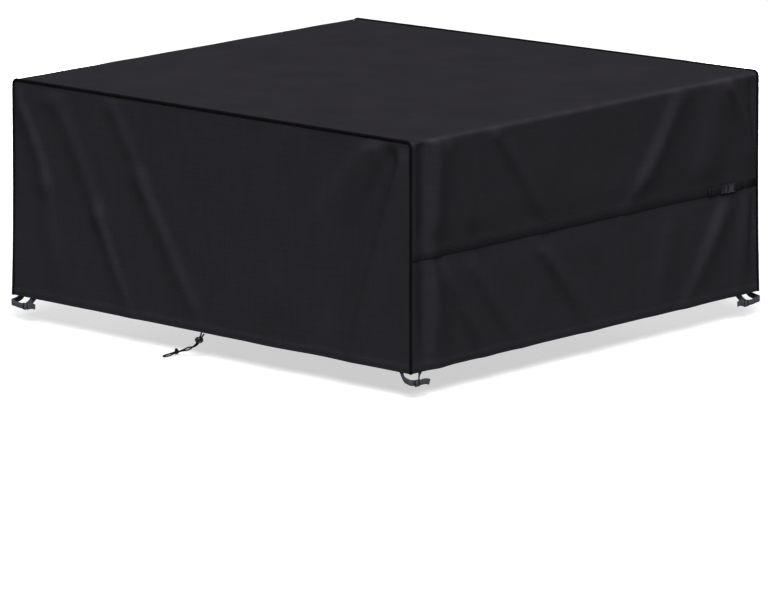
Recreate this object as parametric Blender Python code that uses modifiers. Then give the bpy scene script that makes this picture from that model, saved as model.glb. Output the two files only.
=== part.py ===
"""Fitted patio furniture cover, hollow, as it hangs over a square set of table and chairs.

One length of cloth makes two walls and the top. Two end panels are sewn into it with piping.
It has a belt across one wall, a strap loop under each corner and a drawstring in the hem.
Metres, +Z up. The origin is the middle of the top's underside, where the furniture holds it up.
"""

import math
from collections import namedtuple

import bmesh
import bpy
from mathutils import Matrix, Vector

# Cover
LENGTH = 1.72  # along X, the width of the end panels
DEPTH = 1.65  # along Y, the width of the main panel
HEIGHT = 0.71  # from the top to the hem
CLOTH = 0.002
FOLD_RADIUS = 0.018  # of the main panel's two folded edges
FLARE = 0.009  # how far the hem stands out past the top on each side
GAP = 0.0003  # between touching pieces
SLIGHT = 1e-6

# Piping
PIPING_RADIUS = 0.0045
PIPING_INSET = 0.0015  # its middle, in from the cloth's outer faces
PANEL_INSET = PIPING_INSET + PIPING_RADIUS + GAP  # where the cloth stops beside it

# Belt and its buckle
BELT_WIDTH = 0.025
BELT_THICK = 0.0016
BELT_DROP = 0.355  # its middle, below the top
BELT_LAND = 0.016  # half the height of the flat strip of wall under it
BELT_LIFT = 0.0005
BELT_END = 0.0008  # how far its ends stop short of the wall's edges
BELT_REACH = 0.05  # how far above and below its strip it flattens the wall
BELT_FLATTENS = 0.7  # share of a fold's rise that it presses flat
BELT_DRAWS_IN = 0.004
BUCKLE_LIFT = 0.001  # of the buckle's back off the wall
BUCKLE_ROUNDING = 0.002
PLUG_START = 1.467
PLUG_TALL = 0.027
PLUG_THICK = 0.006
SOCKET_START = 1.497
SOCKET_END = 1.537
SOCKET_TALL = 0.031
SOCKET_THICK = 0.008

# Corner straps
STRAP_WIDTH = 0.018
STRAP_THICK = 0.0016
LOOP_STEPS = 42
TAIL_STEPS = 9
STRAP_BUCKLE_THICK = 0.0036
STRAP_BUCKLE_TALL = 0.0215
STRAP_BUCKLE_ROUNDING = 0.0012

# Drawstring, its lock and its knot. The ground is 75 mm under the hem.
CORD_RADIUS = 0.00225
CORD_STEPS = 64
LOCK_RADIUS = 0.0095
LOCK_LENGTH = 0.021
LOCK_ROUNDING = 0.003
LOCK_HOLE = (0.0061, 0.0030)  # half sizes of the oval hole that both strands go through
PLUNGER_RADIUS = 0.0058
PLUNGER_LENGTH = 0.0045
KNOT_RADIUS = 0.0023
KNOT_TURN = (0.0078, 0.0052)  # half sizes of the turn round both strands
KNOT_STEPS = 20

# Grid of the cloth
COLUMNS_X = 34
COLUMNS_Y = 32
TOP_ROWS = 10
WALL_ROWS = 4  # above the belt, and as many below it
BEND_STEPS = 3

# How the cloth's waves die out
FOLD_FADE = 0.07  # past a fold's two ends
SIDE_FADE = 0.03  # towards the piping at a wall's two sides
HEM_HOLD = 0.18  # how far up from the hem its cord steadies the folds
HEM_STEADIES = 0.6  # share of a fold's rise that it presses flat at the hem
BELT_SIDE_FADE = 0.05
TOP_FADE = 0.15  # towards the top's four edges
EDGE_CALM = 0.1  # share of a fold's rise that is left where the wall turns into the top
TOP_WAVE = 0.0025  # height of the top's low waves

TOP = CLOTH  # height of the top's outer face
HEM = TOP - HEIGHT

Fold = namedtuple("Fold", "top_u top_drop foot_u foot_drop bow rise top_reach foot_reach")

# Soft ridges and troughs in each wall. u runs along +X or +Y from the wall's low end, drop runs
# down from the top, bow bends the crease sideways, rise is outward and reach is its half width.
FRONT_FOLDS = (
    Fold(0.03, 0.07, 0.15, 0.32, 0.01, 0.010, 0.025, 0.030),
    Fold(0.15, 0.34, 0.20, 0.64, 0.00, 0.006, 0.030, 0.040),
    Fold(0.20, 0.06, 0.39, 0.40, 0.01, 0.008, 0.045, 0.032),
    Fold(0.39, 0.40, 0.54, 0.71, -0.005, 0.009, 0.024, 0.028),
    Fold(0.45, 0.04, 0.59, 0.27, 0.00, 0.006, 0.032, 0.032),
    Fold(0.58, 0.27, 0.80, 0.63, 0.00, 0.009, 0.032, 0.040),
    Fold(1.57, 0.02, 1.12, 0.71, -0.055, 0.013, 0.045, 0.100),
    Fold(1.63, 0.06, 1.34, 0.71, -0.02, -0.011, 0.028, 0.075),
    Fold(1.68, 0.07, 1.48, 0.68, 0.00, 0.011, 0.024, 0.040),
)
BACK_FOLDS = (
    Fold(0.08, 0.04, 0.22, 0.71, 0.02, 0.010, 0.035, 0.050),
    Fold(0.50, 0.20, 0.42, 0.71, -0.02, 0.008, 0.045, 0.055),
    Fold(0.95, 0.06, 0.80, 0.71, 0.03, 0.012, 0.040, 0.050),
    Fold(1.20, 0.30, 1.28, 0.71, 0.00, 0.007, 0.040, 0.045),
    Fold(1.62, 0.05, 1.46, 0.71, -0.02, 0.011, 0.035, 0.055),
)
RIGHT_FOLDS = (
    Fold(0.060, 0.02, 0.064, 0.66, 0.00, -0.012, 0.027, 0.027),
    Fold(0.115, 0.035, 0.095, 0.36, 0.00, 0.017, 0.036, 0.036),
    Fold(0.165, 0.05, 0.29, 0.34, 0.00, 0.011, 0.030, 0.030),
    Fold(0.39, 0.035, 0.61, 0.34, 0.01, 0.012, 0.035, 0.035),
    Fold(1.25, 0.035, 1.00, 0.36, 0.015, 0.015, 0.045, 0.048),
    Fold(1.47, 0.035, 1.36, 0.36, 0.00, 0.011, 0.070, 0.070),
    Fold(1.50, 0.035, 1.62, 0.31, 0.02, 0.013, 0.030, 0.030),
    Fold(1.635, 0.05, 1.635, 0.66, 0.00, -0.008, 0.030, 0.030),
    Fold(0.088, 0.36, 0.12, 0.71, 0.00, 0.017, 0.035, 0.036),
    Fold(0.15, 0.40, 0.33, 0.71, -0.01, 0.013, 0.028, 0.033),
    Fold(0.28, 0.42, 0.50, 0.71, -0.01, 0.010, 0.030, 0.038),
    Fold(0.56, 0.38, 0.82, 0.70, 0.01, 0.013, 0.035, 0.042),
    Fold(1.22, 0.40, 1.15, 0.71, 0.00, 0.007, 0.045, 0.055),
    Fold(1.51, 0.37, 1.29, 0.70, 0.00, 0.016, 0.038, 0.050),
    Fold(1.60, 0.40, 1.55, 0.71, 0.00, 0.009, 0.025, 0.030),
)
LEFT_FOLDS = (
    Fold(0.10, 0.12, 0.24, 0.71, 0.02, 0.011, 0.035, 0.050),
    Fold(0.46, 0.14, 0.60, 0.71, -0.02, 0.010, 0.040, 0.050),
    Fold(0.92, 0.25, 0.86, 0.71, 0.00, 0.008, 0.045, 0.055),
    Fold(1.25, 0.13, 1.12, 0.71, 0.02, 0.011, 0.040, 0.050),
    Fold(1.56, 0.12, 1.46, 0.71, -0.01, 0.012, 0.035, 0.050),
)

# How far the furniture pushes each corner from its true place, at the top and at the hem.
CornerPush = namedtuple("CornerPush", "sign_x sign_y top hem")
CORNER_PUSH = (
    CornerPush(-1, -1, Vector((0.009, 0.009, -0.004)), Vector((0.012, 0.011, 0.006))),
    CornerPush(1, -1, Vector((-0.005, -0.005, -0.001)), Vector((-0.005, -0.005, 0.002))),
    CornerPush(1, 1, Vector((0.001, 0.001, 0.008)), Vector((-0.001, -0.001, 0.002))),
    CornerPush(-1, 1, Vector((-0.010, -0.009, -0.006)), Vector((-0.005, -0.004, 0.000))),
)

Station = namedtuple("Station", "x z nx nz drop side")


def smoothstep(value):
    """Ease from 0 to 1."""
    value = min(max(value, 0.0), 1.0)
    return value * value * (3 - 2 * value)


def spread(low, high, steps):
    """Even steps from low to high, both included."""
    return [low + (high - low) * i / steps for i in range(steps + 1)]


def flare(drop):
    """How far a wall stands out past the top at a drop below it."""
    return FLARE * (max(drop, 0.0) / HEIGHT) ** 2


def ridge(fold, u, drop):
    """Outward rise of one fold at a point of its wall."""
    along = (drop - fold.top_drop) / (fold.foot_drop - fold.top_drop)
    held = min(max(along, 0.0), 1.0)
    spine = fold.top_u + (fold.foot_u - fold.top_u) * held + 4 * fold.bow * held * (1 - held)
    reach = fold.top_reach + (fold.foot_reach - fold.top_reach) * held
    past = max(fold.top_drop - drop, drop - fold.foot_drop, 0.0)
    return fold.rise * (1 - smoothstep(past / FOLD_FADE)) * math.exp(-(((u - spine) / reach) ** 2))


def wall_fold(folds, u, drop, span):
    """Outward rise of a wall's cloth, level at the piping on its two sides."""
    rise = sum(ridge(fold, u, drop) for fold in folds)
    rise *= 1 - HEM_STEADIES * smoothstep((drop - HEIGHT + HEM_HOLD) / HEM_HOLD)
    return rise * smoothstep(u / SIDE_FADE) * smoothstep((span - u) / SIDE_FADE)


def right_fold(u, drop):
    """The +X wall's folds, which the belt draws in and flattens along its length."""
    off_land = max(abs(drop - BELT_DROP) - BELT_LAND - SLIGHT, 0.0)
    if off_land == 0.0:
        drop = BELT_DROP
    draw = math.exp(-((off_land / BELT_REACH) ** 2))
    rise = wall_fold(RIGHT_FOLDS, u, drop, DEPTH) * (1 - BELT_FLATTENS * draw)
    calm = smoothstep(u / BELT_SIDE_FADE) * smoothstep((DEPTH - u) / BELT_SIDE_FADE)
    return rise - BELT_DRAWS_IN * draw * calm


def left_fold(u, drop):
    """The -X wall's folds."""
    return wall_fold(LEFT_FOLDS, u, drop, DEPTH)


def top_lift(x, y):
    """The top's low waves, which die out at the piping and at the folded edges."""
    edge = smoothstep((DEPTH / 2 - abs(y)) / TOP_FADE)
    edge *= smoothstep((LENGTH / 2 - abs(x)) / TOP_FADE)
    return TOP_WAVE * edge * math.sin(7 * x + 3 * y) * math.cos(5 * y - 2 * x)


def pushed(point):
    """Move a point as the furniture under the cover pushes the nearest corners."""
    height = smoothstep((point.z - HEM) / HEIGHT)
    across = point.x / LENGTH
    along = point.y / DEPTH
    moved = point.copy()
    for push in CORNER_PUSH:
        offset = push.hem.lerp(push.top, height)
        moved += offset * (0.5 + push.sign_x * across) * (0.5 + push.sign_y * along)
    return moved


def section(inset):
    """Stations round the X-Z section, from the -X hem over the top to the +X hem.

    inset moves the section in from the cloth's outer faces.
    """
    corner = LENGTH / 2 - FOLD_RADIUS
    radius = FOLD_RADIUS - inset
    drops = spread(FOLD_RADIUS, BELT_DROP - BELT_LAND, WALL_ROWS)
    drops += spread(BELT_DROP + BELT_LAND, HEIGHT, WALL_ROWS)
    wall = [Station(LENGTH / 2 + flare(d) - inset, TOP - d, 1, 0, d, 1) for d in drops]
    bend = []
    for angle in spread(0, math.pi / 2, BEND_STEPS)[1:-1]:
        x = corner + radius * math.sin(angle)
        z = TOP - FOLD_RADIUS + radius * math.cos(angle)
        bend.append(Station(x, z, math.sin(angle), math.cos(angle), FOLD_RADIUS, 1))
    top = [Station(x, TOP - inset, 0, 1, 0, 0) for x in spread(-corner, corner, TOP_ROWS)]
    right = bend + wall
    left = [s._replace(x=-s.x, nx=-s.nx, side=-1) for s in reversed(right)]
    return left + top + right


def main_point(station, u):
    """A point of the main panel's outer face, u from its -Y edge."""
    half = DEPTH / 2 + flare(station.drop) - PANEL_INSET
    y = -half + 2 * half * u / DEPTH
    if station.side == 0:
        rise = top_lift(station.x, y)
    elif station.side > 0:
        rise = right_fold(u, station.drop)
    else:
        rise = left_fold(u, station.drop)
    if station.side != 0:
        rise *= EDGE_CALM + (1 - EDGE_CALM) * abs(station.nx) ** 3
    return pushed(Vector((station.x + rise * station.nx, y, station.z + rise * station.nz)))


def end_point(column, row, side, folds):
    """A point of an end panel's outer face. side is -1 for the front and 1 for the back.

    column is its place across, as x and the drop of the panel's top edge there. row runs from
    0 at the top edge to 1 at the hem.
    """
    x, top_drop = column
    drop = top_drop + (HEIGHT - top_drop) * row
    x += math.copysign(flare(drop), x) * smoothstep(abs(x) / (LENGTH / 2))
    rise = wall_fold(folds, x + LENGTH / 2, drop, LENGTH) * smoothstep((drop - top_drop) / 0.04)
    return pushed(Vector((x, side * (DEPTH / 2 + flare(drop) + rise), TOP - drop)))


def end_columns():
    """Places across an end panel, with the drop of its rounded top edge at each."""
    corner = LENGTH / 2 - FOLD_RADIUS
    radius = FOLD_RADIUS - PANEL_INSET
    bend = []
    for angle in spread(0, math.pi / 2, BEND_STEPS)[1:]:
        bend.append((corner + radius * math.sin(angle), FOLD_RADIUS - radius * math.cos(angle)))
    flat = [(x, PANEL_INSET) for x in spread(-corner, corner, COLUMNS_X - 2 * BEND_STEPS)]
    return [(-x, drop) for x, drop in reversed(bend)] + flat + bend


def material(name, colour, roughness):
    """A plain material of one colour."""
    made = bpy.data.materials.new(name)
    made.use_nodes = True
    shader = made.node_tree.nodes["Principled BSDF"]
    shader.inputs["Base Color"].default_value = (*colour, 1.0)
    shader.inputs["Roughness"].default_value = roughness
    shader.inputs["Metallic"].default_value = 0.0
    return made


def add_object(name, data, collection, made_of):
    """Put a mesh or curve in the collection as a named piece."""
    piece = bpy.data.objects.new(name, data)
    data.materials.append(made_of)
    collection.objects.link(piece)
    return piece


def thickened(piece, thickness, offset):
    """Give an open sheet its thickness. offset is -1 for inward and 1 for outward."""
    solid = piece.modifiers.new("thickness", "SOLIDIFY")
    solid.thickness = thickness
    solid.offset = offset
    solid.use_even_offset = True
    return piece


def sheet(name, rows, collection, made_of, closed=False):
    """An open sheet whose vertices are rows of points, all rows of one length."""
    across = len(rows)
    along = len(rows[0])
    mesh = bmesh.new()
    grid = bmesh.ops.create_grid(mesh, x_segments=across - 1, y_segments=along - 1, size=1.0)
    for vert in grid["verts"]:
        i = round((vert.co.x + 1) / 2 * (across - 1))
        j = round((vert.co.y + 1) / 2 * (along - 1))
        vert.co = rows[i][j]
    if closed:
        bmesh.ops.remove_doubles(mesh, verts=mesh.verts, dist=1e-6)
    data = bpy.data.meshes.new(name)
    mesh.to_mesh(data)
    mesh.free()
    data.shade_smooth()
    return add_object(name, data, collection, made_of)


def add_main_panel(collection, made_of):
    """The cloth that makes the +X wall, the top and the -X wall."""
    stations = section(0.0)
    rows = [[main_point(s, u) for u in spread(0, DEPTH, COLUMNS_Y)] for s in stations]
    thickened(sheet("main_panel", rows, collection, made_of), CLOTH, -1)


def add_end_panel(name, side, folds, collection, made_of):
    """One of the two panels sewn into the main panel's open ends."""
    steps = spread(0, 1, 2 * WALL_ROWS)
    columns = end_columns()
    if side > 0:
        columns.reverse()
    rows = [[end_point(column, row, side, folds) for row in reversed(steps)] for column in columns]
    thickened(sheet(name, rows, collection, made_of), CLOTH, -1)


def tube(name, points, radius, collection, made_of, cyclic=False):
    """A round tube along a line of points."""
    curve = bpy.data.curves.new(name, "CURVE")
    curve.dimensions = "3D"
    curve.bevel_depth = radius
    curve.bevel_resolution = 2
    curve.use_fill_caps = True
    spline = curve.splines.new("POLY")
    spline.points.add(len(points) - 1)
    for slot, point in zip(spline.points, points):
        slot.co = (*point, 1.0)
    spline.use_cyclic_u = cyclic
    return add_object(name, curve, collection, made_of)


def add_piping(name, side, collection, made_of):
    """The raised bound seam round an end panel, from hem to hem."""
    points = []
    for station in section(PIPING_INSET):
        y = side * (DEPTH / 2 + flare(station.drop) - PIPING_INSET)
        points.append(pushed(Vector((station.x, y, station.z))))
    tube(name, points, PIPING_RADIUS, collection, made_of)


def belt_face(u, drop, lift):
    """A point lift outside the +X wall's facets, under the belt."""
    columns = spread(0, DEPTH, COLUMNS_Y)
    step = DEPTH / COLUMNS_Y
    index = min(int(u / step), COLUMNS_Y - 1)
    part = u / step - index
    fold = right_fold(columns[index], BELT_DROP) * (1 - part)
    fold += right_fold(columns[index + 1], BELT_DROP) * part
    half = DEPTH / 2 + flare(drop) - PANEL_INSET
    y = -half + 2 * half * u / DEPTH
    return pushed(Vector((LENGTH / 2 + flare(drop) + fold + lift, y, TOP - drop)))


def add_belt(name, start, end, collection, made_of):
    """A length of the belt, flat on the wall from start to end."""
    stops = [u for u in spread(0, DEPTH, COLUMNS_Y) if start < u < end]
    stops = [start] + stops + [end]
    edges = (BELT_DROP + BELT_WIDTH / 2, BELT_DROP - BELT_WIDTH / 2)
    rows = [[belt_face(u, drop, BELT_LIFT) for drop in edges] for u in stops]
    thickened(sheet(name, rows, collection, made_of), BELT_THICK, 1)


def block(name, size, centre, turn, rounding, collection, made_of):
    """A box with rounded edges, its size given along its own axes, turned and then placed."""
    mesh = bmesh.new()
    bmesh.ops.create_cube(mesh, size=1.0, matrix=Matrix.Diagonal((*size, 1.0)))
    data = bpy.data.meshes.new(name)
    mesh.to_mesh(data)
    mesh.free()
    piece = add_object(name, data, collection, made_of)
    piece.matrix_world = Matrix.Translation(centre) @ turn
    bevel = piece.modifiers.new("rounding", "BEVEL")
    bevel.width = rounding
    bevel.segments = 2
    return piece


def add_belt_buckle(collection, made_of):
    """The buckle's plug and socket, end to end on the belt's line."""
    for name, start, end, tall, thick in (
        ("belt_buckle_plug", PLUG_START, SOCKET_START - GAP, PLUG_TALL, PLUG_THICK),
        ("belt_buckle_socket", SOCKET_START, SOCKET_END, SOCKET_TALL, SOCKET_THICK),
    ):
        wall = max(belt_face(u, BELT_DROP + tall / 2, 0.0).x for u in spread(start, end, 20))
        middle = belt_face((start + end) / 2, BELT_DROP, 0.0)
        centre = Vector((wall + BUCKLE_LIFT + thick / 2, middle.y, middle.z))
        size = (thick, end - start, tall)
        block(name, size, centre, Matrix.Identity(4), BUCKLE_ROUNDING, collection, made_of)


def smooth_line(points, count, closed):
    """count + 1 points on a smooth curve through the given ones."""
    known = [Vector(point) for point in points]
    spans = len(known) if closed else len(known) - 1
    line = []
    for step in range(count + 1):
        place = spans * step / count
        index = min(int(place), spans - 1)
        t = place - index
        around = []
        for k in range(index - 1, index + 3):
            around.append(known[k % len(known)] if closed else known[min(max(k, 0), len(known) - 1)])
        a, b, c, d = around
        line.append(0.5 * (2 * b + (c - a) * t + (2 * a - 5 * b + 4 * c - d) * t * t
                           + (3 * b - a - 3 * c + d) * t ** 3))
    return line


# Route of a corner strap's loop round its leg: in from one wall, in from the other, up from the hem.
# It hangs low outside the leg and runs up inside the hem, where it is sewn, on both walls.
LOOP_ROUTE = (
    (0.052, 0.0075, 0.010),
    (0.044, 0.0065, 0.000),
    (0.035, 0.0035, -0.0125),
    (0.023, -0.0015, -0.0195),
    (0.009, -0.0038, -0.0225),
    (-0.0022, -0.0025, -0.0245),
    (-0.0042, 0.009, -0.0265),
    (-0.0040, 0.022, -0.0290),
    (-0.0020, 0.034, -0.0290),
    (0.0030, 0.0430, -0.0180),
    (0.0062, 0.0495, -0.0050),
    (0.0075, 0.0570, 0.0070),
    (0.0130, 0.0650, 0.0140),
    (0.028, 0.058, 0.017),
    (0.044, 0.044, 0.018),
    (0.057, 0.029, 0.017),
    (0.062, 0.0140, 0.014),
)
# Route of its free end past the buckle: out from the hem's corner line, past the buckle, above the hem.
TAIL_ROUTE = (
    (0.0085, 0.003, -0.0280),
    (0.0095, 0.015, -0.0262),
    (0.0110, 0.028, -0.0260),
    (0.0125, 0.040, -0.0290),
)
# The strap's buckle: out from the hem's corner line, length along the wall and place above the hem.
STRAP_BUCKLE_PLACE = (0.0080, 0.021, -0.0285)
NEAR_CORNER = 0.008  # up to here a route keeps its own measure along the wall
# reach stretches a strap's route along the wall that its free end runs along, which is the end
# panel's where along_end is true. buckle is how far from the corner the buckle starts, and lift
# is how far the free end rises past it.
Corner = namedtuple("Corner", "name sign_x sign_y along_end reach buckle lift")
CORNERS = (
    Corner("front_left", -1, -1, True, 1.75, 0.055, 0.006),
    Corner("front_right", 1, -1, False, 0.92, 0.010, -0.003),
    Corner("back_right", 1, 1, False, 1.85, 0.062, 0.006),
    Corner("back_left", -1, 1, True, 1.0, 0.0145, 0.002),
)


def corner_point(place, corner):
    """A strap route's point in the cover's frame. The route is for a tail along a side wall."""
    from_side, from_end, above = place
    if corner.along_end:
        from_side, from_end = from_end, from_side
    x = corner.sign_x * (LENGTH / 2 + FLARE - from_side)
    y = corner.sign_y * (DEPTH / 2 + FLARE - from_end)
    return pushed(Vector((x, y, HEM + above)))


def loop_points(corner):
    """The route of one corner's loop, stretched along its wall."""
    points = []
    for from_side, from_end, above in LOOP_ROUTE:
        if from_end > NEAR_CORNER:
            from_end *= corner.reach
        points.append(corner_point((from_side, from_end, above), corner))
    return points


def strap_buckle_ends(corner):
    """The two ends of one corner's buckle."""
    out, length, above = STRAP_BUCKLE_PLACE
    return [corner_point((-out, corner.buckle + part, above), corner) for part in (0, length)]


def tail_points(corner):
    """The route of one corner's free end, out of its buckle."""
    start = corner.buckle + STRAP_BUCKLE_PLACE[1]
    points = []
    for out, past, above in TAIL_ROUTE:
        above += corner.lift * past / TAIL_ROUTE[-1][1]
        points.append(corner_point((-out, start + past, above), corner))
    return points


def band(name, line, closed, collection, made_of):
    """Webbing standing on edge along a line of points."""
    rows = []
    last = len(line) - 1
    for i, point in enumerate(line):
        before = line[last - 1] if closed and i == 0 else line[max(i - 1, 0)]
        after = line[1] if closed and i == last else line[min(i + 1, last)]
        ahead = (after - before).normalized()
        upright = (Vector((0, 0, 1)) - ahead * ahead.z).normalized()
        rows.append([point - upright * STRAP_WIDTH / 2, point + upright * STRAP_WIDTH / 2])
    piece = sheet(name, rows, collection, made_of, closed)
    return thickened(piece, STRAP_THICK, 0)


def add_corner_strap(corner, collection, webbing, plastic):
    """A strap loop under one corner, with its buckle and free end."""
    loop = smooth_line(loop_points(corner), LOOP_STEPS, True)
    band(f"strap_loop_{corner.name}", loop, True, collection, webbing)
    tail = smooth_line(tail_points(corner), TAIL_STEPS, False)
    band(f"strap_tail_{corner.name}", tail, False, collection, webbing)
    ends = strap_buckle_ends(corner)
    ahead = (ends[1] - ends[0]).normalized()
    upright = (Vector((0, 0, 1)) - ahead * ahead.z).normalized()
    turn = Matrix((ahead.cross(upright), ahead, upright)).transposed().to_4x4()
    size = (STRAP_BUCKLE_THICK, (ends[1] - ends[0]).length, STRAP_BUCKLE_TALL)
    centre = (ends[0] + ends[1]) / 2
    rounding = STRAP_BUCKLE_ROUNDING
    block(f"strap_buckle_{corner.name}", size, centre, turn, rounding, collection, plastic)


# Route of the drawstring's two strands, from the hem to the loop that ends it: x, out from the hem's
# corner line, above the hem, half the distance between the strands, and how far the pair has turned.
PAIR_ROUTE = (
    (-0.0125, 0.0002, -0.0018, 0.0060, 0),
    (-0.0142, 0.0018, -0.0074, 0.0046, 0),
    (-0.0175, 0.0045, -0.0144, 0.0029, 0),
    (-0.0220, 0.0060, -0.0234, 0.0029, 0),
    (-0.0265, 0.0075, -0.0324, 0.0029, 0),
    (-0.0380, 0.0105, -0.0434, 0.0040, 40),
    (-0.0590, 0.0160, -0.0544, 0.0034, 100),
    (-0.0780, 0.0225, -0.0619, 0.0029, 160),
    (-0.0905, 0.0275, -0.0664, 0.0026, 180),
    (-0.0970, 0.0320, -0.0680, 0.0026, 180),
    (-0.1000, 0.0390, -0.0698, 0.0028, 180),
    (-0.1000, 0.0520, -0.0719, 0.0055, 180),
    (-0.0980, 0.0700, -0.0729, 0.0080, 180),
    (-0.0960, 0.0860, -0.0730, 0.0060, 180),
    (-0.0955, 0.0910, -0.0730, 0.0000, 180),
)
LOCK_ROW = 3
KNOT_ROW = 9


def pair_middle(row):
    """The middle of the two strands at a row of their route."""
    x, out, above = PAIR_ROUTE[row][:3]
    return pushed(Vector((x, -(DEPTH / 2 + FLARE + out), HEM + above)))


def pair_axes(row):
    """Along the strands, from one to the other, and square to both.

    The strands lie side by side along X from the hem to past the lock, and then level.
    """
    ends = pair_middle(max(row - 1, 0)), pair_middle(min(row + 1, len(PAIR_ROUTE) - 1))
    ahead = (ends[1] - ends[0]).normalized()
    level = Vector((1, 0, 0))
    if row > LOCK_ROW + 2:
        level = Vector((-ahead.y, ahead.x, 0))
    across = (level - ahead * level.dot(ahead)).normalized()
    return ahead, across, ahead.cross(across)


def drawstring_line():
    """The whole cord: down one strand, round the end loop and back up the other."""
    down = []
    up = []
    for row, (_x, _out, _above, apart, turned) in enumerate(PAIR_ROUTE):
        _ahead, across, square = pair_axes(row)
        angle = math.radians(turned)
        aside = (across * math.cos(angle) + square * math.sin(angle)) * apart
        down.append(pair_middle(row) - aside)
        up.append(pair_middle(row) + aside)
    return smooth_line(down + up[-2::-1], CORD_STEPS, False)


def turned_to(row, along):
    """A turn whose X runs across the strands and whose Z is along them, or square to both."""
    ahead, across, square = pair_axes(row)
    axes = (across, square, ahead) if along else (across, -ahead, square)
    return Matrix.Translation(pair_middle(row)) @ Matrix(axes).transposed().to_4x4()


def round_bar(name, radii, length, place, collection, made_of, sides=24):
    """A cylinder along its own Z, round or oval."""
    mesh = bmesh.new()
    bmesh.ops.create_cone(mesh, cap_ends=True, segments=sides, radius1=1.0, radius2=1.0, depth=1.0)
    bmesh.ops.scale(mesh, vec=(*radii, length), verts=mesh.verts)
    data = bpy.data.meshes.new(name)
    mesh.to_mesh(data)
    mesh.free()
    data.shade_smooth()
    data.set_sharp_from_angle(angle=math.radians(40))
    piece = add_object(name, data, collection, made_of)
    piece.matrix_world = place
    return piece


def add_drawstring(collection, cutters, cord, plastic):
    """The cord, the lock that both strands run through, its plunger and the knot's turn."""
    tube("drawstring", drawstring_line(), CORD_RADIUS, collection, cord)
    place = turned_to(LOCK_ROW, False)
    lock = round_bar("cord_lock", (LOCK_RADIUS, LOCK_RADIUS), LOCK_LENGTH, place, collection, plastic)
    bevel = lock.modifiers.new("rounding", "BEVEL")
    bevel.width = LOCK_ROUNDING
    bevel.segments = 2
    bevel.limit_method = "ANGLE"
    hole = round_bar("lock_hole", LOCK_HOLE, 4 * LOCK_RADIUS, turned_to(LOCK_ROW, True), cutters, plastic)
    hole.hide_render = True
    hole.display_type = "WIRE"
    cut = lock.modifiers.new("hole", "BOOLEAN")
    cut.object = hole
    radii = (PLUNGER_RADIUS, PLUNGER_RADIUS)
    end = place @ Matrix.Translation((0, 0, (LOCK_LENGTH + PLUNGER_LENGTH) / 2 + GAP))
    round_bar("cord_lock_plunger", radii, PLUNGER_LENGTH, end, collection, plastic)
    turn = turned_to(KNOT_ROW, True)
    ring = []
    for angle in spread(0, 2 * math.pi, KNOT_STEPS)[:-1]:
        ring.append(turn @ Vector((KNOT_TURN[0] * math.cos(angle), KNOT_TURN[1] * math.sin(angle), 0)))
    tube("drawstring_knot", ring, KNOT_RADIUS, collection, cord, cyclic=True)


def build():
    """Model the cover."""
    for old in list(bpy.data.objects):
        bpy.data.objects.remove(old)
    collection = bpy.data.collections.new("patio_furniture_cover")
    bpy.context.scene.collection.children.link(collection)
    cloth = material("coated_cloth", (0.025, 0.025, 0.027), 0.6)
    binding = material("binding_tape", (0.010, 0.010, 0.011), 0.7)
    webbing = material("webbing", (0.012, 0.012, 0.014), 0.7)
    plastic = material("moulded_plastic", (0.016, 0.016, 0.018), 0.4)
    cord = material("braided_cord", (0.008, 0.008, 0.009), 0.8)
    cutters = bpy.data.collections.new("cutters")
    bpy.context.scene.collection.children.link(cutters)
    add_main_panel(collection, cloth)
    add_end_panel("end_panel_front", -1, FRONT_FOLDS, collection, cloth)
    add_end_panel("end_panel_back", 1, BACK_FOLDS, collection, cloth)
    add_piping("piping_front", -1, collection, binding)
    add_piping("piping_back", 1, collection, binding)
    add_belt("belt_long", BELT_END, PLUG_START - GAP, collection, webbing)
    add_belt("belt_short", SOCKET_END + GAP, DEPTH - BELT_END, collection, webbing)
    add_belt_buckle(collection, plastic)
    for corner in CORNERS:
        add_corner_strap(corner, collection, webbing, plastic)
    add_drawstring(collection, cutters, cord, plastic)


build()
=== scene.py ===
"""Finished looks of a fitted patio furniture cover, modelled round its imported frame.

Three panels of coated cloth with piped seams, a buckled belt across one wall, a webbing loop with
its own buckle under each corner, and a drawstring with a cord lock and a knot. The cloth hangs in
the folds of its solids. Metres, +Z up, the origin in the middle of the top's underside.
"""

import math
from collections import namedtuple

import bmesh
import bpy
from mathutils import Matrix, Vector, noise


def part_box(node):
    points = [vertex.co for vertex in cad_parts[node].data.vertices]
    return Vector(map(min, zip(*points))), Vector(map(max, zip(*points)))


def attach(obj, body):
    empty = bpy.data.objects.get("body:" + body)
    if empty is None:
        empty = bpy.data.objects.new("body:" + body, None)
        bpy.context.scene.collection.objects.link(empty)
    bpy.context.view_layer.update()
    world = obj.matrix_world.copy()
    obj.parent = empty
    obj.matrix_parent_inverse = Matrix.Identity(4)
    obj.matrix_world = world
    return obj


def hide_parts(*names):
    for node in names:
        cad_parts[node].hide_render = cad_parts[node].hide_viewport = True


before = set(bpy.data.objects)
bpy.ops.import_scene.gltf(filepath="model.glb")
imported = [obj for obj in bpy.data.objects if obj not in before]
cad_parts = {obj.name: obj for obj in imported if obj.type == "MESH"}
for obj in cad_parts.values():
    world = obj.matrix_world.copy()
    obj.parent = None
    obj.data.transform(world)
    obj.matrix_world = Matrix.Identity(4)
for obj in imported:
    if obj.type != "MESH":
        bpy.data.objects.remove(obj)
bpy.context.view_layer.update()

# Driving sizes of the cover
LENGTH = 1.72  # along X
DEPTH = 1.65  # along Y
HEIGHT = 0.71
FOLD_RADIUS = 0.018  # of the two plain folded edges
FLARE = 0.009  # how far the hem stands out past the top
TOP = 0.002  # height of the top's outer face
HEM = TOP - HEIGHT
GROUND = HEM - 0.075

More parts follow.
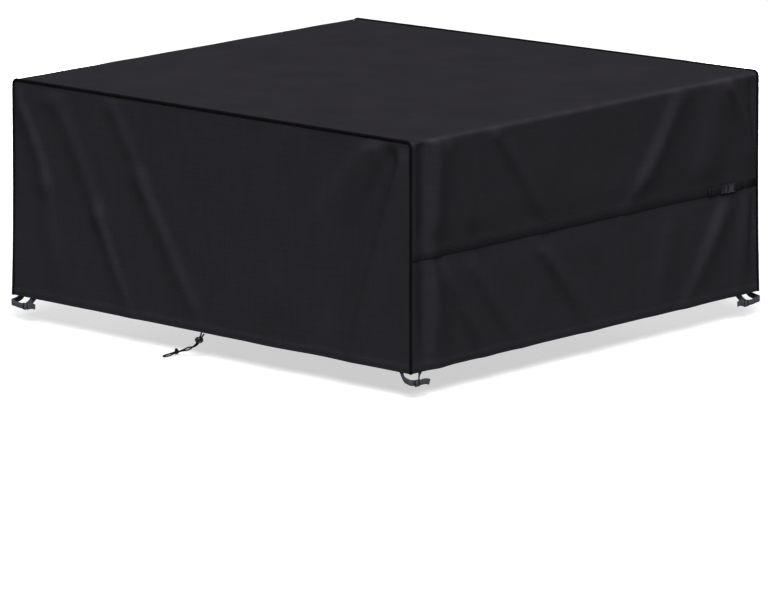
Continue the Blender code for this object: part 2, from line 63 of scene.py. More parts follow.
# Cloth
CLOTH = 0.0008
STEP = 0.0092  # of the grid on the walls
TOP_STEP = 0.020
HEM_TURN = 0.0016  # radius of the turn at the hem
HEM_DEPTH = 0.028  # from the hem's edge up to its row of stitches
HEM_PLUMP = 0.0016  # how far the cord inside swells the hem

# Piping
PIPING_RADIUS = 0.0045
PIPING_INSET = 0.0015
TUCK = 0.003  # how far in from the outer faces the cloth ends, inside the piping
GROOVE = 0.0016  # how far the stitching pulls the cloth down beside the piping
GROOVE_REACH = 0.006

# Belt
BELT_WIDTH = 0.025
BELT_THICK = 0.0014
BELT_DROP = 0.355
BELT_LAND = 0.016  # half the height of the flat strip of wall under it
BELT_LIFT = 0.0004
BELT_END = 0.0008  # how far its ends stop short of the wall's edges
BELT_REACH = 0.05  # how far above and below its strip it flattens the wall
BELT_FLATTENS = 0.7  # share of a fold's rise that it presses flat
BELT_DRAWS_IN = 0.004
BELT_TURNBACK = 0.062  # length of the doubled end beside the buckle
BUCKLE_LIFT = 0.001
PLUG_START = 1.467
SOCKET_START = 1.497
SOCKET_END = 1.537

# Corner straps
STRAP_WIDTH = 0.018
STRAP_THICK = 0.0015
STRAP_BUCKLE_TALL = 0.0215
# A free end's way over the buckle's bar: share of the buckle's length, and height from its middle.
THREADING = (
    (0.21, -0.0019), (0.255, -0.0004), (0.33, 0.0013), (0.42, 0.0019), (0.50, 0.0020),
    (0.58, 0.0019), (0.67, 0.0013), (0.745, -0.0004), (0.82, -0.0017), (0.95, -0.0020),
)
CRISP = 35  # degrees between faces from which a moulded edge stays sharp

# Drawstring, its lock and its knot
CORD_RADIUS = 0.00225
LOCK_RADIUS = 0.0095
LOCK_LENGTH = 0.021
LOCK_HOLE = (0.0061, 0.0030)  # half sizes of the oval hole that both strands go through
PLUNGER_RADIUS = 0.0058
PLUNGER_LENGTH = 0.0045
KNOT_TURN = (0.0078, 0.0052)  # half sizes of the knot's turns round both strands

# Stitches
STITCH = (0.0032, 0.0008, 0.0006)  # length, width and thickness of one
STITCH_PITCH = 0.0044

STITCH_BATCH = 24  # spans of a seam that are sewn at a time

# Points along each smooth line
LOOP_STEPS = 136
TAIL_STEPS = 60
KNOT_STEPS = 110
CORD_STEPS = 300

Fold = namedtuple("Fold", "top_u top_drop foot_u foot_drop bow rise top_reach foot_reach lean")

# Soft ridges and troughs of each wall. u runs along +X or +Y from the wall's low end, drop runs
# down from the top, bow bends the crease sideways, rise is outward, reach is its half width and
# lean makes its +u side the steeper one, or its -u side where it is below 0.
FRONT_FOLDS = (
    Fold(0.03, 0.07, 0.15, 0.32, 0.01, 0.010, 0.025, 0.030, 0.3),
    Fold(0.15, 0.34, 0.20, 0.64, 0.00, 0.006, 0.030, 0.040, 0.2),
    Fold(0.20, 0.06, 0.39, 0.40, 0.01, 0.008, 0.045, 0.032, 0.2),
    Fold(0.39, 0.40, 0.54, 0.71, -0.005, 0.009, 0.024, 0.028, 0.3),
    Fold(0.45, 0.04, 0.59, 0.27, 0.00, 0.006, 0.032, 0.032, 0.2),
    Fold(0.58, 0.27, 0.80, 0.63, 0.00, 0.009, 0.032, 0.040, 0.3),
    Fold(1.57, 0.02, 1.12, 0.71, -0.055, 0.013, 0.045, 0.100, -0.2),
    Fold(1.63, 0.06, 1.34, 0.71, -0.02, -0.011, 0.028, 0.075, 0.0),
    Fold(1.68, 0.07, 1.48, 0.68, 0.00, 0.011, 0.024, 0.040, -0.2),
)
BACK_FOLDS = (
    Fold(0.08, 0.04, 0.22, 0.71, 0.02, 0.010, 0.035, 0.050, 0.3),
    Fold(0.50, 0.20, 0.42, 0.71, -0.02, 0.008, 0.045, 0.055, -0.3),
    Fold(0.95, 0.06, 0.80, 0.71, 0.03, 0.012, 0.040, 0.050, -0.3),
    Fold(1.20, 0.30, 1.28, 0.71, 0.00, 0.007, 0.040, 0.045, 0.2),
    Fold(1.62, 0.05, 1.46, 0.71, -0.02, 0.011, 0.035, 0.055, -0.3),
)
RIGHT_FOLDS = (
    Fold(0.060, 0.02, 0.064, 0.66, 0.00, -0.012, 0.027, 0.027, 0.3),
    Fold(0.115, 0.035, 0.095, 0.36, 0.00, 0.017, 0.036, 0.036, -0.3),
    Fold(0.165, 0.05, 0.29, 0.34, 0.00, 0.011, 0.030, 0.030, -0.3),
    Fold(0.39, 0.035, 0.61, 0.34, 0.01, 0.012, 0.035, 0.035, -0.3),
    Fold(1.25, 0.035, 1.00, 0.36, 0.015, 0.015, 0.045, 0.048, -0.3),
    Fold(1.47, 0.035, 1.36, 0.36, 0.00, 0.011, 0.070, 0.070, -0.2),
    Fold(1.50, 0.035, 1.62, 0.31, 0.02, 0.013, 0.030, 0.030, -0.3),
    Fold(1.635, 0.05, 1.635, 0.66, 0.00, -0.008, 0.030, 0.030, 0.0),
    Fold(0.088, 0.36, 0.12, 0.71, 0.00, 0.017, 0.035, 0.036, -0.3),
    Fold(0.15, 0.40, 0.33, 0.71, -0.01, 0.013, 0.028, 0.033, -0.3),
    Fold(0.28, 0.42, 0.50, 0.71, -0.01, 0.010, 0.030, 0.038, -0.3),
    Fold(0.56, 0.38, 0.82, 0.70, 0.01, 0.013, 0.035, 0.042, -0.3),
    Fold(1.22, 0.40, 1.15, 0.71, 0.00, 0.007, 0.045, 0.055, -0.2),
    Fold(1.51, 0.37, 1.29, 0.70, 0.00, 0.016, 0.038, 0.050, -0.3),
    Fold(1.60, 0.40, 1.55, 0.71, 0.00, 0.009, 0.025, 0.030, 0.0),
)
LEFT_FOLDS = (
    Fold(0.10, 0.12, 0.24, 0.71, 0.02, 0.011, 0.035, 0.050, 0.3),
    Fold(0.46, 0.14, 0.60, 0.71, -0.02, 0.010, 0.040, 0.050, 0.3),
    Fold(0.92, 0.25, 0.86, 0.71, 0.00, 0.008, 0.045, 0.055, -0.3),
    Fold(1.25, 0.13, 1.12, 0.71, 0.02, 0.011, 0.040, 0.050, -0.3),
    Fold(1.56, 0.12, 1.46, 0.71, -0.01, 0.012, 0.035, 0.050, -0.3),
)
FOLD_FADE = 0.07  # past a fold's two ends
SIDE_FADE = 0.03  # towards the piping at a wall's two sides
PIPED_FADE = 0.04  # down from an end panel's piped edge
HEM_HOLD = 0.18  # how far up from the hem its cord steadies the folds
HEM_STEADIES = 0.6  # share of a fold's rise that it presses flat at the hem
TOP_FADE = 0.15  # towards the top's four edges
EDGE_CALM = 0.1  # share of a fold's rise that is left where the wall turns into the top
TOP_WAVE = 0.0025
WIDE_CRUMPLE = (7, 3.0, 0.0016)  # waves across and down a metre, and their height
NARROW_CRUMPLE = (26, 6.0, 0.0006)
BELT_CALMS = 0.8  # share of the crumple that the belt presses flat
BELT_SIDE_FADE = 0.05  # from a wall's side to where the belt draws it in fully

# How far the furniture pushes each corner from its true place, at the top and at the hem.
CornerPush = namedtuple("CornerPush", "sign_x sign_y top hem")
CORNER_PUSH = (
    CornerPush(-1, -1, Vector((0.009, 0.009, -0.004)), Vector((0.012, 0.011, 0.006))),
    CornerPush(1, -1, Vector((-0.005, -0.005, -0.001)), Vector((-0.005, -0.005, 0.002))),
    CornerPush(1, 1, Vector((0.001, 0.001, 0.008)), Vector((-0.001, -0.001, 0.002))),
    CornerPush(-1, 1, Vector((-0.010, -0.009, -0.006)), Vector((-0.005, -0.004, 0.000))),
)

Station = namedtuple("Station", "x z nx nz drop side flat")
SEAM_STEPS = (0.0, 0.0018, 0.0036, 0.0056, 0.0080, 0.0115)  # rows of cloth beside a seam
SEAM_END = 0.0170  # where the even rows start


def smoothstep(value):
    """Ease from 0 to 1."""
    value = min(max(value, 0.0), 1.0)
    return value * value * (3 - 2 * value)


def spread(low, high, steps):
    """Even steps from low to high, both included."""
    return [low + (high - low) * i / steps for i in range(steps + 1)]


def seam_spread(low, high, step):
    """Steps that crowd together at both ends, where the seams pull the cloth."""
    inner = spread(low + SEAM_END, high - SEAM_END, round((high - low - 2 * SEAM_END) / step))
    return [low + n for n in SEAM_STEPS] + inner + [high - n for n in reversed(SEAM_STEPS)]


# ------------------------------------------------------------------ materials


def hex_colour(code):
    """Linear red, green, blue and alpha of an sRGB hex colour."""
    channels = []
    for start in (0, 2, 4):
        value = int(code[start:start + 2], 16) / 255
        channels.append(value / 12.92 if value <= 0.04045 else ((value + 0.055) / 1.055) ** 2.4)
    return (*channels, 1.0)


def node(tree, kind, inputs=(), **settings):
    """Add a node. A socket given as an input is linked, and anything else is set as its value."""
    made = tree.nodes.new("ShaderNode" + kind)
    for key, value in settings.items():
        setattr(made, key, value)
    for key, value in dict(inputs).items():
        if isinstance(value, bpy.types.NodeSocket):
            tree.links.new(value, made.inputs[key])
        else:
            made.inputs[key].default_value = value
    return made


MIX_A, MIX_B, MIXED = 6, 7, 2  # a Mix node's two colour inputs and its colour output


def new_material(name):
    """An empty material with its tree, its shader and its own flat map in metres."""
    made = bpy.data.materials.new(name)
    made.use_nodes = True
    tree = made.node_tree
    shader = tree.nodes["Principled BSDF"]
    flat = node(tree, "UVMap", uv_map="flat")
    return made, tree, shader, flat.outputs["UV"]


def woven(tree, flat, across, along):
    """Height of a plain weave from 0 to 1, its threads across and along metres apart."""
    parts = node(tree, "SeparateXYZ", {0: flat})
    waves = []
    for socket, pitch in ((parts.outputs[0], across), (parts.outputs[1], along)):
        turned = node(tree, "Math", {0: socket, 1: math.pi / pitch}, operation="MULTIPLY")
        wave = node(tree, "Math", {0: turned.outputs[0]}, operation="SINE")
        waves.append(wave.outputs[0])
    both = node(tree, "Math", {0: waves[0], 1: waves[1]}, operation="MULTIPLY")
    half = {0: both.outputs[0], 1: 0.5, 2: 0.5}
    return node(tree, "Math", half, operation="MULTIPLY_ADD").outputs[0]


def coated_cloth():
    """600-denier polyester, plain woven in 0.9 mm threads, with a matt coating.

    The coating fills the weave, so the eye gets an even black with a dull, wide sheen on the folds.
    The uneven threads show at arm's length as faint lines across and along the cloth, drawn here
    8 mm apart, because single threads are too fine to show.
    """
    made, tree, shader, flat = new_material("coated_polyester_cloth")
    stretched = []
    for scale in ((1.0, 0.06, 1.0), (0.06, 1.0, 1.0)):
        placed = node(tree, "Mapping", {"Vector": flat, "Scale": scale})
        lines = {"Vector": placed.outputs[0], "Scale": 130.0, "Detail": 2.0, "Roughness": 0.6}
        stretched.append(node(tree, "TexNoise", lines).outputs["Fac"])
    slubs = node(tree, "Math", {0: stretched[0], 1: stretched[1]}, operation="ADD")
    clouds = node(tree, "TexNoise", {"Vector": flat, "Scale": 5.0, "Detail": 4.0})
    mottle = {0: clouds.outputs["Fac"], 1: slubs.outputs[0]}
    tone = node(tree, "Math", mottle, operation="ADD")
    ramp = node(tree, "MapRange", {0: tone.outputs[0], 1: 1.0, 2: 2.0, 3: 0.0, 4: 1.0})
    shades = {0: ramp.outputs[0], MIX_A: hex_colour("262528"), MIX_B: hex_colour("2b2a2d")}
    base = node(tree, "Mix", shades, data_type="RGBA")
    # painted highlight: a lighter colour, 353437, along the folded edges and the hem, where their
    # rounded edges catch the light
    painted_highlight = node(tree, "Attribute", attribute_name="painted_highlight")
    highlighting = {0: painted_highlight.outputs["Fac"], MIX_A: base.outputs[MIXED], MIX_B: hex_colour("353437")}
    highlit = node(tree, "Mix", highlighting, data_type="RGBA")
    tree.links.new(highlit.outputs[MIXED], shader.inputs["Base Color"])
    dull = node(tree, "MapRange", {0: clouds.outputs["Fac"], 1: 0.3, 2: 0.7, 3: 0.56, 4: 0.66})
    tree.links.new(dull.outputs[0], shader.inputs["Roughness"])
    shader.inputs["Specular IOR Level"].default_value = 0.05
    threads = woven(tree, flat, 0.0009, 0.0009)
    fine = node(tree, "Bump", {"Height": threads, "Strength": 0.5, "Distance": 0.00012})
    coarse = {"Height": slubs.outputs[0], "Strength": 0.5, "Distance": 0.0006,
              "Normal": fine.outputs["Normal"]}
    uneven = node(tree, "Bump", coarse)
    tree.links.new(uneven.outputs["Normal"], shader.inputs["Normal"])
    return made


def plain_woven(name, dark, light, across, along, relief, roughness, specular):
    """A woven narrow fabric whose threads stand out one by one."""
    made, tree, shader, flat = new_material(name)
    threads = woven(tree, flat, across, along)
    uneven = node(tree, "TexNoise", {"Vector": flat, "Scale": 60.0, "Detail": 3.0})
    tone = node(tree, "Math", {0: threads, 1: uneven.outputs["Fac"]}, operation="MULTIPLY")
    shades = {0: tone.outputs[0], MIX_A: hex_colour(dark), MIX_B: hex_colour(light)}
    base = node(tree, "Mix", shades, data_type="RGBA")
    tree.links.new(base.outputs[MIXED], shader.inputs["Base Color"])
    shader.inputs["Roughness"].default_value = roughness
    shader.inputs["Specular IOR Level"].default_value = specular
    raised = node(tree, "Bump", {"Height": threads, "Strength": 0.8, "Distance": relief})
    tree.links.new(raised.outputs["Normal"], shader.inputs["Normal"])
    return made


def moulded_plastic():
    """Acetal, injection moulded with a fine spark grain: broken gloss and bright edges."""
    made, tree, shader, _flat = new_material("moulded_acetal")
    where = node(tree, "TexCoord").outputs["Object"]
    grain = node(tree, "TexNoise", {"Vector": where, "Scale": 2600.0, "Detail": 2.0})
    scuffs = node(tree, "TexNoise", {"Vector": where, "Scale": 160.0, "Detail": 5.0})
    rough = node(tree, "MapRange", {0: scuffs.outputs["Fac"], 1: 0.35, 2: 0.7, 3: 0.34, 4: 0.52})
    shades = {0: scuffs.outputs["Fac"], MIX_A: hex_colour("161618"), MIX_B: hex_colour("222225")}
    base = node(tree, "Mix", shades, data_type="RGBA")
    tree.links.new(base.outputs[MIXED], shader.inputs["Base Color"])
    tree.links.new(rough.outputs[0], shader.inputs["Roughness"])
    raised = node(tree, "Bump", {"Height": grain.outputs["Fac"], "Strength": 0.25,
                                           "Distance": 0.0001})
    tree.links.new(raised.outputs["Normal"], shader.inputs["Normal"])
    return made


def lit_acrylic():
    """Opal acrylic, cast and lit from below like a light table, so shadows on it are pale."""
    made = bpy.data.materials.new("opal_acrylic_floor")
    made.use_nodes = True
    shader = made.node_tree.nodes["Principled BSDF"]
    shader.inputs["Base Color"].default_value = hex_colour("6b6b6b")
    shader.inputs["Roughness"].default_value = 0.9
    shader.inputs["Specular IOR Level"].default_value = 0.1
    shader.inputs["Emission Color"].default_value = hex_colour("ffffff")
    shader.inputs["Emission Strength"].default_value = 0.45
    return made


# ------------------------------------------------------------------ the cloth's shape


def flare(drop):
    """How far a wall stands out past the top at a drop below it."""
    return FLARE * (max(drop, 0.0) / HEIGHT) ** 2


def ridge(fold, u, drop):
    """Outward rise of one fold at a point of its wall."""
    along = (drop - fold.top_drop) / (fold.foot_drop - fold.top_drop)
    held = min(max(along, 0.0), 1.0)
    spine = fold.top_u + (fold.foot_u - fold.top_u) * held + 4 * fold.bow * held * (1 - held)
    reach = fold.top_reach + (fold.foot_reach - fold.top_reach) * held
    reach *= 1 - fold.lean if u > spine else 1 + fold.lean
    past = max(fold.top_drop - drop, drop - fold.foot_drop, 0.0)
    return fold.rise * (1 - smoothstep(past / FOLD_FADE)) * math.exp(-(((u - spine) / reach) ** 2))


def wall_fold(folds, u, drop, span):
    """Outward rise of a wall's cloth, level at the piping on its two sides."""
    rise = sum(ridge(fold, u, drop) for fold in folds)
    rise *= 1 - HEM_STEADIES * smoothstep((drop - HEIGHT + HEM_HOLD) / HEM_HOLD)
    return rise * smoothstep(u / SIDE_FADE) * smoothstep((span - u) / SIDE_FADE)


def crumple(u, drop, seed):
    """Slight unevenness of hanging cloth, drawn out down the wall."""
    rise = 0.0
    for (across, down, height), shift in ((WIDE_CRUMPLE, 0), (NARROW_CRUMPLE, 7)):
        rise += height * noise.noise(Vector((u * across, drop * down, seed + shift)))
    return rise


def right_fold(u, drop):
    """The +X wall's folds, which the belt draws in and flattens along its length."""
    off_land = max(abs(drop - BELT_DROP) - BELT_LAND, 0.0)
    if off_land == 0.0:
        drop = BELT_DROP
    draw = math.exp(-((off_land / BELT_REACH) ** 2))
    rise = wall_fold(RIGHT_FOLDS, u, drop, DEPTH) * (1 - BELT_FLATTENS * draw)
    rise += crumple(u, drop, 3.0) * (1 - BELT_CALMS * draw)
    sides = smoothstep(u / BELT_SIDE_FADE) * smoothstep((DEPTH - u) / BELT_SIDE_FADE)
    return rise - BELT_DRAWS_IN * draw * sides


def left_fold(u, drop):
    """The -X wall's folds."""
    return wall_fold(LEFT_FOLDS, u, drop, DEPTH) + crumple(u, drop, 23.0)


def top_lift(x, y):
    """The top's low waves, which die out at the piping and at the folded edges."""
    edge = smoothstep((DEPTH / 2 - abs(y)) / TOP_FADE)
    edge *= smoothstep((LENGTH / 2 - abs(x)) / TOP_FADE)
    waves = TOP_WAVE * edge * math.sin(7 * x + 3 * y) * math.cos(5 * y - 2 * x)
    return waves + 0.0012 * noise.noise(Vector((x * 5, y * 5, 41.0)))


def pushed(point):
    """Move a point as the furniture under the cover pushes the nearest corners."""
    height = smoothstep((point.z - HEM) / HEIGHT)
    across = point.x / LENGTH
    along = point.y / DEPTH
    moved = point.copy()
    for push in CORNER_PUSH:
        offset = push.hem.lerp(push.top, height)
        moved += offset * (0.5 + push.sign_x * across) * (0.5 + push.sign_y * along)
    return moved


def groove(distance):
    """How far the cloth dips at a distance from the piping."""
    return GROOVE * math.exp(-((distance / GROOVE_REACH) ** 2))


HemRow = namedtuple("HemRow", "drop inset out flat")


def hem_rows():
    """Rows from just above the hem's stitches, round its edge and up inside to the stitches.

    drop is below the top, inset is in from the outer face, out is the swell over the cord, and
    flat is the distance along the cloth past the start.
    """
    rows = []
    foot = HEIGHT - HEM_TURN
    start = HEIGHT - HEM_DEPTH
    for t in spread(0, 1, 7):
        drop = start + (foot - start) * t
        rows.append(HemRow(drop, 0.0, HEM_PLUMP * math.sin(math.pi * t), drop - start))
    for angle in spread(0, math.pi, 5)[1:]:
        drop = foot + HEM_TURN * math.sin(angle)
        inset = HEM_TURN * (1 - math.cos(angle))
        rows.append(HemRow(drop, inset, 0.0, foot - start + HEM_TURN * angle))
    turned = rows[-1].flat
    for t in spread(0, 1, 4)[1:]:
        drop = foot - (foot - start) * t
        inset = 2 * HEM_TURN + (CLOTH * 1.1 - 2 * HEM_TURN) * t ** 3
        rows.append(HemRow(drop, inset, 0.0, turned + foot - drop))
    return rows


def section(inset):
    """Stations round the X-Z section, from the -X wall's hem over the top to the +X wall's."""
    corner = LENGTH / 2 - FOLD_RADIUS
    radius = FOLD_RADIUS - inset
    half = []
    for x in spread(0, corner, round(corner / TOP_STEP)):
        half.append(Station(x, TOP - inset, 0.0, 1.0, 0.0, 0, x))
    for angle in spread(0, math.pi / 2, 7)[1:-1]:
        x = corner + radius * math.sin(angle)
        z = TOP - FOLD_RADIUS + radius * math.cos(angle)
        flat = corner + FOLD_RADIUS * angle
        half.append(Station(x, z, math.sin(angle), math.cos(angle), FOLD_RADIUS, 1, flat))
    bent = corner + FOLD_RADIUS * math.pi / 2
    foot = HEIGHT - HEM_DEPTH if inset == 0.0 else HEIGHT
    for drop in wall_drops(FOLD_RADIUS, foot):
        x = LENGTH / 2 + flare(drop) - inset
        half.append(Station(x, TOP - drop, 1.0, 0.0, drop, 1, bent + drop - FOLD_RADIUS))
    return half


def wall_drops(top, foot):
    """Drops down a wall, with a row at each edge of the belt's flat strip."""
    above = BELT_DROP - BELT_LAND
    below = BELT_DROP + BELT_LAND
    drops = spread(top, above, round((above - top) / STEP))
    drops += spread(above, below, 4)[1:-1]
    return drops + spread(below, foot, round((foot - below) / STEP))


def wall_station(drop):
    """The station of a plain wall at a drop below the top."""
    return Station(LENGTH / 2 + flare(drop), TOP - drop, 1.0, 0.0, drop, 1, 0.0)


def main_point(station, u, sign, inset=0.0, out=0.0):
    """A point of the main panel's outer face, u from its -Y edge. sign is the section's side."""
    half = DEPTH / 2 + flare(station.drop) - TUCK
    y = -half + 2 * half * u / DEPTH
    x = sign * station.x
    dip = groove(min(u, DEPTH - u))
    if station.side == 0:
        rise = top_lift(x, y) - dip
    else:
        wall = right_fold if sign > 0 else left_fold
        rise = wall(u, station.drop) * (EDGE_CALM + (1 - EDGE_CALM) * station.nx ** 3) - dip
        if station.nz > 0:
            rise += 0.0015 * noise.noise(Vector((x, y * 6, 17.0))) * station.nz
    rise += out - inset
    return pushed(Vector((x + sign * rise * station.nx, y, station.z + rise * station.nz)))


def end_point(x, top_drop, drop, side, folds, inset=0.0, out=0.0):
    """A point of an end panel's outer face. side is -1 for the front and 1 for the back."""
    rise = wall_fold(folds, x + LENGTH / 2, drop, LENGTH) + crumple(x, drop, 60.0 + side)
    rise *= smoothstep((drop - top_drop) / PIPED_FADE)
    edge = min(LENGTH / 2 - TUCK - abs(x), drop - top_drop)
    rise -= groove(max(edge, 0.0))
    x += math.copysign(flare(drop), x) * smoothstep(abs(x) / (LENGTH / 2))
    y = side * (DEPTH / 2 + flare(drop) + rise + out - inset)
    return pushed(Vector((x, y, TOP - drop)))


# ------------------------------------------------------------------ mesh making


def add_grid(mesh, rows, flat, painted_highlight=None, joined=False):
    """Add a grid of points to a bmesh: rows of one length, and their flat places in metres.

    wear gives each point's painted highlight from 0 to 1. joined merges points that lie on each
    other.
    """
    layer = mesh.loops.layers.uv.get("flat") or mesh.loops.layers.uv.new("flat")
    highlit = mesh.verts.layers.float.get("painted_highlight") or mesh.verts.layers.float.new("painted_highlight")
    across = len(rows)
    along = len(rows[0])
    grid = bmesh.ops.create_grid(mesh, x_segments=across - 1, y_segments=along - 1, size=1.0)
    places = {}
    for vert in grid["verts"]:
        i = round((vert.co.x + 1) / 2 * (across - 1))
        j = round((vert.co.y + 1) / 2 * (along - 1))
        places[vert] = flat[i][j]
        vert.co = rows[i][j]
        vert[highlit] = painted_highlight[i][j] if painted_highlight else 0.0
    for face in {face for vert in grid["verts"] for face in vert.link_faces}:
        face.smooth = True
        for loop in face.loops:
            loop[layer].uv = places[loop.vert]
    if joined:
        bmesh.ops.remove_doubles(mesh, verts=grid["verts"], dist=1e-6)


def finished(name, mesh, made_of, closed=True):
    """Turn a bmesh into a piece that rides on the cover. closed is for closed shapes."""
    if closed:
        bmesh.ops.recalc_face_normals(mesh, faces=mesh.faces)
    data = bpy.data.meshes.new(name)
    mesh.to_mesh(data)
    mesh.free()
    data.materials.append(made_of)
    piece = bpy.data.objects.new(name, data)
    bpy.context.scene.collection.objects.link(piece)
    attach(piece, "root")
    return piece


def thickened(piece, thickness, offset):
    """Give a sheet its thickness. offset is -1 for inward and 1 for outward."""
    solid = piece.modifiers.new("thickness", "SOLIDIFY")
    solid.thickness = thickness
    solid.offset = offset
    solid.use_even_offset = True
    return piece


def ring(radius, sides):
    """A closed round section."""
    return [(radius * math.cos(a), radius * math.sin(a)) for a in spread(0, 2 * math.pi, sides)]


def strap_section(width, thick):
    """A closed section of flat webbing with rounded selvedges."""
    half = (width - thick) / 2
    section_points = []
    for start, middle in ((0.0, half), (math.pi, -half)):
        for angle in spread(start, start + math.pi, 4):
            x, y = thick / 2 * math.cos(angle), thick / 2 * math.sin(angle)
            section_points.append((x, middle + y))
    return section_points + section_points[:1]


def add_sweep(mesh, line, axes, outline, relief=None, looped=False, ends=((0.0, 0.0),)):
    """Carry a closed outline along a line.

    axes gives the two directions across the line at each of its points. relief(place, angle) scales
    the outline. looped is for a line that ends where it starts. ends are the rings that close each
    end: the outline's scale and how far past the end it is.
    """
    around = [0.0]
    for a, b in zip(outline, outline[1:]):
        around.append(around[-1] + math.dist(a, b))
    places = [0.0]
    for a, b in zip(line, line[1:]):
        places.append(places[-1] + (b - a).length)
    stops = [(index, 1.0, Vector((0, 0, 0))) for index in range(len(line))]
    if not looped:
        first = (line[0] - line[1]).normalized()
        last = (line[-1] - line[-2]).normalized()
        start = [(0, scale, first * past) for scale, past in reversed(ends)]
        finish = [(len(line) - 1, scale, last * past) for scale, past in ends]
        stops = start + stops + finish
    rows = []
    flat = []
    for index, scale, past in stops:
        side, up = axes[index]
        row = []
        for x, y in outline:
            size = scale * (relief(places[index], math.atan2(y, x)) if relief else 1.0)
            row.append(line[index] + past + side * (x * size) + up * (y * size))
        rows.append(row)
        flat.append([(places[index] + past.length, a) for a in around])
    add_grid(mesh, rows, flat, joined=True)


def level_axes(line, looped=False):
    """Across a line at each of its points: the level direction, and the one nearest to up."""
    axes = []
    last = len(line) - 1
    for i in range(len(line)):
        before = line[last - 1] if looped and i == 0 else line[max(i - 1, 0)]
        after = line[1] if looped and i == last else line[min(i + 1, last)]
        ahead = (after - before).normalized()
        upright = (Vector((0, 0, 1)) - ahead * ahead.z).normalized()
        axes.append((ahead.cross(upright), upright))
    return axes


def carried_axes(line):
    """Two directions across a line that don't twist round it."""
    side = Vector((1, 0, 0))
    axes = []
    last = len(line) - 1
    for i in range(len(line)):
        ahead = (line[min(i + 1, last)] - line[max(i - 1, 0)]).normalized()
        side = (side - ahead * side.dot(ahead)).normalized()
        axes.append((side, ahead.cross(side)))
    return axes


def smooth_line(points, count, closed):
    """count + 1 points on a smooth curve through the given ones."""
    known = [Vector(point) for point in points]
    spans = len(known) if closed else len(known) - 1
    line = []
    for step in range(count + 1):
        place = spans * step / count
        index = min(int(place), spans - 1)
        t = place - index
        around = []
        for k in range(index - 1, index + 3):
            k = k % len(known) if closed else min(max(k, 0), len(known) - 1)
            around.append(known[k])
        a, b, c, d = around
        line.append(0.5 * (2 * b + (c - a) * t + (2 * a - 5 * b + 4 * c - d) * t * t
                           + (3 * b - a - 3 * c + d) * t ** 3))
    return line


def add_stitches(mesh, line, outward):
    """Sew along a line, a lozenge of thread at each pitch. outward is square to the cloth."""
    travelled = 0.0
    due = STITCH_PITCH / 2
    for index in range(len(line) - 1):
        span = line[index + 1] - line[index]
        while due <= travelled + span.length:
            part = (due - travelled) / span.length
            normal = outward[index].lerp(outward[index + 1], part)
            ahead = span.normalized()
            side = normal.cross(ahead).normalized()
            out = ahead.cross(side)
            turn = Matrix((ahead * STITCH[0] / 2, side * STITCH[1] / 2, out * STITCH[2] / 2))
            place = Matrix.Translation(line[index].lerp(line[index + 1], part))
            place = place @ turn.transposed().to_4x4()
            bmesh.ops.create_icosphere(mesh, subdivisions=1, radius=1.0, matrix=place)
            due += STITCH_PITCH
        travelled += span.length


def stitched(name, lines, made_of):
    """All the stitches as one piece. lines are pairs of a line and its outward directions."""
    mesh = bmesh.new()
    for line, outward in lines:
        for start in range(0, len(line) - 1, STITCH_BATCH):
            stop = start + STITCH_BATCH + 1
            row = bmesh.new()
            add_stitches(row, line[start:stop], outward[start:stop])
            add_part(mesh, row, Matrix.Identity(4))
    for face in mesh.faces:
        face.smooth = True
    return finished(name, mesh, made_of, closed=False)


def add_part(mesh, part, place):
    """Move a part's bmesh to its place and add it to a piece."""
    bmesh.ops.transform(part, matrix=place, verts=part.verts)
    data = bpy.data.meshes.new("part")
    part.to_mesh(data)
    part.free()
    mesh.from_mesh(data)
    bpy.data.meshes.remove(data)


def add_plate(mesh, along, across, slots, shape, rounding, place):
    """Add a moulded plate with slots through it.

    along and across are the lines of its cells, and slots are the cells left open. shape(a, b) says
    where a point of the grid goes: along, across, and the heights of its back and of its face.
    """
    plate = bmesh.new()
    backs = plate.verts.layers.float.new("back")
    faces = plate.verts.layers.float.new("face")
    columns, lines = len(along) - 1, len(across) - 1
    grid = bmesh.ops.create_grid(plate, x_segments=columns, y_segments=lines, size=1.0)
    cells = {}
    for vert in grid["verts"]:
        i = round((vert.co.x + 1) / 2 * columns)
        j = round((vert.co.y + 1) / 2 * lines)
        cells[vert] = (i, j)
        a, b, vert[backs], vert[faces] = shape(along[i], across[j])
        vert.co = (a, b, 0)
    emptied = [face for face in plate.faces if min(cells[vert] for vert in face.verts) in slots]
    bmesh.ops.delete(plate, geom=emptied, context="FACES")
    region = plate.faces[:] + plate.edges[:]
    raised = bmesh.ops.extrude_face_region(plate, geom=region, use_keep_orig=True)["geom"]
    raised = {item for item in raised if isinstance(item, bmesh.types.BMVert)}
    for vert in plate.verts:
        vert.co.z = vert[faces] if vert in raised else vert[backs]
    plate.verts.layers.float.remove(faces)
    plate.verts.layers.float.remove(plate.verts.layers.float["back"])
    bmesh.ops.recalc_face_normals(plate, faces=plate.faces)
    sharp = [edge for edge in plate.edges if edge.calc_face_angle() > 0.7]
    bmesh.ops.bevel(plate, geom=sharp, offset=rounding, segments=2, profile=0.5, affect="EDGES",
                    material=-1, clamp_overlap=True)
    for face in plate.faces:
        face.smooth = True
    add_part(mesh, plate, place)


def add_turned(mesh, outline, sides, place):
    """Add a shape turned on a lathe. outline runs from pole to pole as radius and height."""
    part = bmesh.new()
    points = [part.verts.new((radius, 0, height)) for radius, height in outline]
    edges = [part.edges.new(pair) for pair in zip(points, points[1:])]
    bmesh.ops.spin(part, geom=points + edges, cent=(0, 0, 0), axis=(0, 0, 1), angle=2 * math.pi,
                   steps=sides, use_merge=True)
    bmesh.ops.remove_doubles(part, verts=part.verts, dist=1e-6)
    bmesh.ops.recalc_face_normals(part, faces=part.faces)
    for face in part.faces:
        face.smooth = True
    add_part(mesh, part, place)


def creased(piece):
    """Keep a moulded piece's sharp edges crisp."""
    piece.data.set_sharp_from_angle(angle=math.radians(CRISP))
    return piece


def painted_edge_highlight(distance):
    """Painted highlight, a lighter colour that is strongest along a rounded edge."""
    return 0.6 * math.exp(-((distance / 0.006) ** 2))


